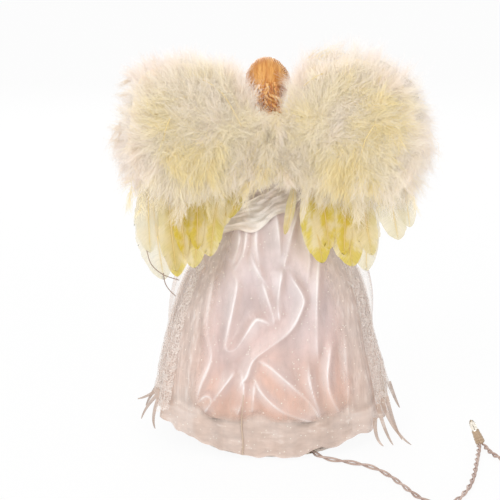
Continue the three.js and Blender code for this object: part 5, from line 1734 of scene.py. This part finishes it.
# %% [markdown]
# ## Layers of down
# Five layers make a wing: two deep ones on the back, a loose fringe and a flat one at the rim, and one on
# the front. A few plumes hang from the lower edge. Under them lies matted down, a lumpy cushion that closes
# the view between the plumes with far fewer faces than more barbs would need.

# %% Layers of down
DOWN_DEPTH = 24.0
DOWN_FRONT_DEPTH = 9.0
# For each ring of tips: its share of the way out, the number of plumes and their length.
LOW_RINGS = [(0.77, 44, 32), (0.64, 36, 32), (0.5, 28, 30), (0.34, 20, 28), (0.16, 10, 26)]
TOP_RINGS = [(0.72, 34, 34), (0.59, 28, 34), (0.46, 22, 32), (0.31, 16, 30), (0.14, 8, 26)]
RIM_RINGS = {"left": [(0.83, 44, 25), (0.75, 36, 32)], "right": [(0.92, 44, 28), (0.84, 36, 36)]}
EDGE_RINGS = {"left": [(0.73, 40, 22)], "right": [(0.76, 40, 22)]}
FRONT_RINGS = [(0.83, 46, 26), (0.68, 36, 28), (0.5, 22, 26), (0.28, 10, 24)]
RIM_THIN = 0.55
HANG_PLUMES = 16
HANG_BARBS = 90
HANG_THIN = 0.8
HANG_LENGTH = 30.0
HANG_BARB_LENGTH = 13.0
CORE_SHARE = 0.8
CORE_BACK = 3.5
CORE_ROOM = 3.0


def hanging_plumes(count):
    """Loose plumes that hang from the lower edge over the long feathers."""
    tip_x = rng.uniform(16, 104, count)
    tip_z = rng.uniform(-62, -46, count) + 0.12 * np.abs(tip_x - 60)
    root = np.column_stack([tip_x * 0.9 + rng.normal(4, 4, count), np.full(count, 11.0), tip_z + HANG_LENGTH])
    tip = np.column_stack([tip_x, 10 + 0.3 * np.maximum(0, -57 - tip_z) + rng.uniform(0, 4, count), tip_z])
    return {"root": root, "knee": (root + tip) / 2 + np.array([0, 5.0, 0]), "tip": tip,
            "face": np.tile([0.0, 1.0, 0.0], (count, 1)), "length": np.full(count, HANG_BARB_LENGTH),
            "tint": np.clip(rng.normal(0.6, 0.25, count), 0, 1)}


def core_place(name):
    """The matted lower down: a lumpy cushion on the card, which closes the view between the plumes."""
    def place(across, along):
        angle = 2 * math.pi * across
        out = CORE_SHARE * along * outline_reach(name, angle)
        x = WING_MIDDLE[0] + out * np.cos(angle)
        z = WING_MIDDLE[1] + out * np.sin(angle)
        bumps = 1 + 0.1 * np.sin(0.31 * x + 1) * np.sin(0.27 * z) + 0.06 * np.sin(0.5 * x + 0.4 * z)
        return np.column_stack([x, CORE_BACK + dome(name, x, z, DOWN_DEPTH) * CORE_SHARE * bumps, z])

    return place


def trimmed_core(name, side):
    """The cushion, cut off on the side of the head and body."""
    mesh = cloth(96, 30, core_place(name), closed=True)
    bm = bmesh.new()
    bm.from_mesh(mesh)
    inner = (HEAD_ROOM[name] + CORE_ROOM) * MM
    bmesh.ops.bisect_plane(bm, geom=[*bm.verts, *bm.edges, *bm.faces], plane_co=(inner, 0, 0),
                           plane_no=(1, 0, 0), clear_inner=True)
    bm.to_mesh(mesh)
    bm.free()
    move_points(mesh, from_wing(points_of(mesh) / MM, side))
    mesh.shade_smooth()
    return mesh


matted = mottled("matted_down", 0.95, srgb(255, 238, 212), srgb(255, 246, 230), 260.0, 6.0,
                 grain=(260.0, 0.002, 0.8), Sheen_Weight=0.3)
for name, side in SIDES:
    body = f"wing_{name}"
    # Layer, depth of its dome, rings, inset, shift, share of the barbs and the nodes it stands for.
    layers = [
        ("down_low", DOWN_DEPTH, LOW_RINGS, 0, 2.0, 0.6, [f"down_back_{name}"]),
        ("down_top", DOWN_DEPTH, TOP_RINGS, 0, 4.0, 1.0, []),
        ("down_rim", DOWN_DEPTH * 0.55, RIM_RINGS[name], 0, 0.0, 0.6, []),
        ("down_edge", DOWN_DEPTH * 0.15, EDGE_RINGS[name], 0, -1.0, 1.0, []),
        ("down_face", -DOWN_FRONT_DEPTH, FRONT_RINGS, FRONT_INSET, -1.0, 1.0, [f"down_front_{name}"]),
    ]
    for layer, depth, rings, inset, shift, density, stands_for in layers:
        plumes = wing_plumes(name, depth, rings, inset, shift)
        width = BARB_WIDTH * (RIM_THIN if layer == "down_rim" else 1.0)
        mesh = plume_barbs(plumes, int(BARBS * density), width, wing_matrix(side))
        finish = marabou_fringe if layer == "down_rim" else marabou
        add_piece(f"{layer}_{name}", mesh, finish, stands_for, body)
    hang = plume_barbs(hanging_plumes(HANG_PLUMES), HANG_BARBS, BARB_WIDTH * HANG_THIN, wing_matrix(side))
    add_piece(f"down_hang_{name}", hang, marabou, body=body)
    add_piece(f"down_core_{name}", trimmed_core(name, side), matted, body=body)

# %% [markdown]
# ## Middle tuft
# Between the wings a tuft of the same down is glued to the card hub. Its plumes fan out from the middle
# line and hang down over the hub, and they stay with the body when a wing bends.

# %% Middle tuft
TUFT_PLUMES = 135
TUFT_THIN = 0.9
TUFT_BARB_LENGTH = 14.0
TUFT_CORE_HALF = (18.0, 12.0, 20.0)
TUFT_CORE_BACK = 10.0
TUFT_CORE_DROP = 4.0


def tuft_plumes(count):
    height = rng.uniform(-20, 20, count)
    aside = rng.uniform(-1, 1, count)
    root = np.column_stack([13 * aside, rng.uniform(15, 21, count), height])
    sideways = 14 * aside + rng.normal(0, 5, count)
    tip = root + np.column_stack([sideways, rng.uniform(4, 11, count), rng.uniform(-22, -9, count)])
    knee = (root + tip) / 2 + np.array([0, 5.0, 3.0])
    face = unit(np.column_stack([0.8 * aside, np.ones(count), np.full(count, 0.3)]))
    return {"root": root, "knee": knee, "tip": tip, "face": face, "length": np.full(count, TUFT_BARB_LENGTH),
            "tint": np.clip(rng.normal(0.5, 0.22, count), 0, 1)}


def tuft_core_place(across, along):
    """A cushion of matted down under the tuft."""
    around = 2 * math.pi * across
    rise = math.pi * (along - 0.5)
    wide, deep, tall = TUFT_CORE_HALF
    x = wide * np.cos(rise) * np.cos(around)
    y = TUFT_CORE_BACK + deep * np.cos(rise) * np.sin(around)
    return placed(np.column_stack([x, y, tall * np.sin(rise) - TUFT_CORE_DROP]), tuft_matrix)


tuft_matrix = np.array(Matrix.Translation(WING_PIVOT) @ Matrix.Rotation(WING_TILT, 4, "X"))
tuft = plume_barbs(tuft_plumes(TUFT_PLUMES), BARBS, BARB_WIDTH * TUFT_THIN, tuft_matrix)
add_piece("down_tuft", tuft, marabou, ["down_centre"])
add_piece("down_tuft_core", cloth(40, 24, tuft_core_place, closed=True), matted)

# %% [markdown]
# ## Feather vanes
# Below the down hangs a row of smooth goose feathers, dyed yellow to yellow-green. A vane is a shaft with
# barbs laid side by side at a slant. Here it is a grid whose rows are the barbs: each leaves the shaft,
# runs out and forwards, and ends on the bluntly pointed outline, a little early or late, which frays the
# edge as on a handled feather.

# %% Feather vanes
FEATHER_BEND = -57.5
FEATHER_SLOPE = 0.32
FEATHER_BACK = 2.8
LAYER_STEP = 1.2
VANE_COLUMNS = 16
VANE_ROWS = 90
VANE_GROUPS = 18
VANE_SLANT = 0.17
VANE_LOCK = 0.004
VANE_FRAY = 0.003
VANE_HALVES = (1.15, 0.85)
VANE_RISE = 0.4
VANE_CUP = 0.028
# For each feather: root and tip (x, z) in the wing's frame, width, tint, how sheer it is, and its layer.
LONG_FEATHERS = {
    "left": [
        ((21, -22), (36, -66), 15, 0.55, 0.0, 0), ((46, -22), (57, -93), 22, 0.6, 0.05, 1),
        ((60, -22), (69, -99), 21, 0.8, 0.0, 0), ((86, -22), (79, -101), 26, 0.1, 0.4, 1),
        ((36, -26), (45, -85), 19, 0.75, 0.05, 2), ((74, -24), (70, -95), 18, 0.45, 0.15, 2),
        ((88, -22), (88, -82), 17, 0.08, 0.45, 2), ((52, -24), (54, -80), 13, 0.95, 0.1, 3),
        ((66, -24), (63, -84), 12, 1.0, 0.1, 3), ((16, -24), (29, -58), 12, 0.85, 0.1, 3),
    ],
    "right": [
        ((22, -22), (33, -90), 22, 0.9, 0.0, 0), ((44, -22), (55, -92), 27, 0.85, 0.05, 1),
        ((62, -22), (65, -95), 22, 0.1, 0.3, 0), ((78, -22), (87, -73), 21, 0.3, 0.3, 1),
        ((12, -26), (5, -70), 7, 0.6, 0.2, 2), ((30, -26), (38, -80), 16, 0.95, 0.05, 2),
        ((58, -26), (69, -84), 17, 0.5, 0.15, 2), ((48, -24), (49, -84), 13, 0.95, 0.1, 3),
        ((90, -24), (95, -64), 14, 0.1, 0.35, 2),
    ],
}


def shaft_place(share, root, tip, layer):
    """Places along a feather's shaft, in the wing's frame."""
    across = root[0] + (tip[0] - root[0]) * share**1.3
    up = root[1] + (tip[1] - root[1]) * share
    back = FEATHER_BACK + LAYER_STEP * layer + FEATHER_SLOPE * np.maximum(0, FEATHER_BEND - up)
    return np.column_stack([across, back, up])


def vane_half(share, width):
    """Half the vane's width: narrow at the root, widest past the middle, and bluntly pointed at the tip."""
    grow = 0.35 + 0.65 * smoothstep(0.0, 0.55, share)
    return width / 2 * grow * np.clip(1 - (np.maximum(share - 0.58, 0) / 0.42) ** 2.2, 0, 1) ** 0.6


def feather_vane(side, root, tip, width, tint, sheer, layer):
    group = rng.normal(0, 1, (2, 40))
    fray = rng.normal(0, 1, (2, VANE_ROWS + 1))

    def place(across, along):
        hand = (across > 0.5).astype(int)
        out = np.abs(2 * across - 1)
        row = np.rint(along * VANE_ROWS).astype(int)
        lock = group[hand, (along * VANE_GROUPS).astype(int)]
        begin = 0.02 + 0.97 * along
        uneven = VANE_LOCK * lock + VANE_FRAY * fray[hand, row]
        end = np.clip(begin + VANE_SLANT * (1 - 0.6 * begin) + uneven, 0, 1)
        spine = shaft_place(begin + (end - begin) * out**1.3, root, tip, layer)
        away = vane_half(end, width) * out**0.9 * (1 + 0.03 * lock)
        away = away * np.where((hand > 0) == (side > 0), *VANE_HALVES)
        spine[:, 0] += np.where(hand > 0, away, -away)
        spine[:, 1] += VANE_RISE - VANE_CUP * away**1.7
        return from_wing(spine, side)

    mesh = cloth(VANE_COLUMNS, VANE_ROWS, place)
    shares = np.array([loop.uv[:] for loop in mesh.uv_layers[0].data])
    corner = np.zeros(len(mesh.loops), int)
    mesh.loops.foreach_get("vertex_index", corner)
    along = np.zeros(len(mesh.vertices))
    out = np.zeros(len(mesh.vertices))
    along[corner] = shares[:, 1]
    out[corner] = np.abs(2 * shares[:, 0] - 1)
    for name, values in (("along", along), ("out", out), ("tint", tint), ("sheer", sheer)):
        tag(mesh, name, values)
    return mesh


print("feathers:", {name: len(rows) for name, rows in LONG_FEATHERS.items()})

# %% [markdown]
# ## Feather finish
# Dye takes unevenly on a feather: it gathers along the shaft, at the root and at the tip, and is washed out
# in patches. Three ramps read the tint of the feather, the share along it and the distance from its shaft,
# and are multiplied. Fine lines along the barbs come from noise on the UV map, whose rows are the barbs.

# %% Feather finish
FEATHER_RAMPS = {
    "tint": [(0.0, srgb(248, 244, 234)), (0.35, srgb(242, 231, 196)), (0.7, srgb(236, 221, 146)),
             (1.0, srgb(236, 216, 92))],
    "along": [(0.0, srgb(253, 246, 210)), (0.35, srgb(255, 254, 246)), (0.8, srgb(254, 252, 240)),
              (1.0, srgb(240, 235, 200))],
    "out": [(0.0, srgb(240, 222, 170)), (0.12, srgb(253, 249, 232)), (0.5, srgb(255, 254, 250)),
            (1.0, srgb(255, 255, 253))],
}


def feather_finish():
    material, tree, shader = new_finish("goose_feather", 0.5, Specular_IOR_Level=0.3)
    dye, fade, edge = (ramp(tree, attribute(tree, key), stops) for key, stops in FEATHER_RAMPS.items())
    lines = drawn_noise(tree, add(tree, "UVMap").outputs["UV"], (2.5, 150, 1))
    streak = ramp(tree, lines, [(0.3, grey(0.8)), (0.6, grey(1.0))])
    wash = drawn_noise(tree, place_of(tree), (150, 150, 40))
    dye = mixed(tree, ramp(tree, wash, [(0.42, grey(0.0)), (0.6, grey(0.85))]), dye, srgb(250, 239, 214))
    colour = times(tree, times(tree, times(tree, dye, fade), edge), streak)
    colour_with(tree, shader, colour)
    bump(tree, shader, lines, 0.0003, 0.5)
    vane = let_through(tree, shader, colour, 0.4)
    clear = add(tree, "BsdfTransparent")
    seen = add(tree, "MixShader", {0: attribute(tree, "sheer"), 1: vane, 2: clear.outputs[0]})
    show(tree, seen.outputs[0])
    return material


goose = feather_finish()
quill_horn, _, _ = new_finish("quill_horn", 0.35, srgb(236, 214, 150), Coat_Weight=0.2)
dark_horn, _, _ = new_finish("dark_horn", 0.4, srgb(150, 126, 112))


print("feather finishes ready")

# %% [markdown]
# ## Long feathers
# Each wing has its own row of feathers, laid in up to four layers. The first four of a wing stand for the
# packed ones, and the thinner ones between them are trim. A shaft is one tapering strand along the middle
# of its vane.

# %% Long feathers
PACKED_FEATHERS = 4


def shaft_line(feather, side):
    root, tip, _, _, _, layer = feather
    share = np.linspace(0, 0.97, 16)
    points = shaft_place(share, root, tip, layer) + np.array([0, 0.7, 0])
    return list(zip(from_wing(points, side), 0.5 - 0.38 * share))


for name, side in SIDES:
    body = f"wing_{name}"
    for number, feather in enumerate(LONG_FEATHERS[name], 1):
        stands_for = [f"long_feather_{name}_{number}"] if number <= PACKED_FEATHERS else []
        vane = feather_vane(side, *feather)
        add_piece(f"goose_feather_{name}_{number}", vane, goose, stands_for, body)
    shafts = [shaft_line(feather, side) for feather in LONG_FEATHERS[name]]
    add_piece(f"feather_shafts_{name}", strands(shafts), quill_horn, body=body)

# %% [markdown]
# ## Bare quills
# A few bare quills lie on top of the down, and two dark ones have slipped out below the left wing.

# %% Bare quills
STRAY_RADIUS = 0.34
STRAY_BACK = 8.0
STRAY_SLOPE = 0.36
STRAY_BEND = -57.0
QUILL_DEPTH = 0.9
QUILL_LIFT = 9.0
STRAY_QUILLS = [
    [(91, -80), (88, -90), (80, -97), (69, -101)],
    [(80, -96), (79, -103), (76, -108), (72, -112)],
]
WING_QUILLS = {
    "left": [[(52, 40), (44, 35), (36, 27), (25, 8)], [(76, 13), (79, 5), (81, -3)]],
    "right": [[(36, 45), (29, 42), (21, 36)], [(72, 8), (66, -2), (63, -12)]],
}


def wing_quill(places, name, side):
    """A bare quill that lies on top of the down."""
    x, z = through(places, 6).T
    points = np.column_stack([x, dome(name, x, z, DOWN_DEPTH) * QUILL_DEPTH + QUILL_LIFT, z])
    return list(zip(from_wing(points, side), np.linspace(0.55, 0.3, len(x))))


def stray_line(places):
    points = through([(x, STRAY_BACK + STRAY_SLOPE * max(0, STRAY_BEND - z), z) for x, z in places], 6)
    return [(point, STRAY_RADIUS) for point in from_wing(points, 1)]


for name, side in SIDES:
    quills = [wing_quill(places, name, side) for places in WING_QUILLS[name]]
    add_piece(f"bare_quills_{name}", strands(quills), quill_horn, body=f"wing_{name}")
strays = [stray_line(places) for places in STRAY_QUILLS]
add_piece("stray_quills_left", strands(strays), dark_horn, body="wing_left")

# %% [markdown]
# ## Cut sizes of the cloth
# Every sheet of the skirt and bodice was cut flat before it was gathered. The flat width of a satin half is
# half of the hem's length, and that of an organza panel is a quarter of it. These sizes are only stated here.

# %% Cut sizes
print("cloth built")

# %% Finish
print("scene built")
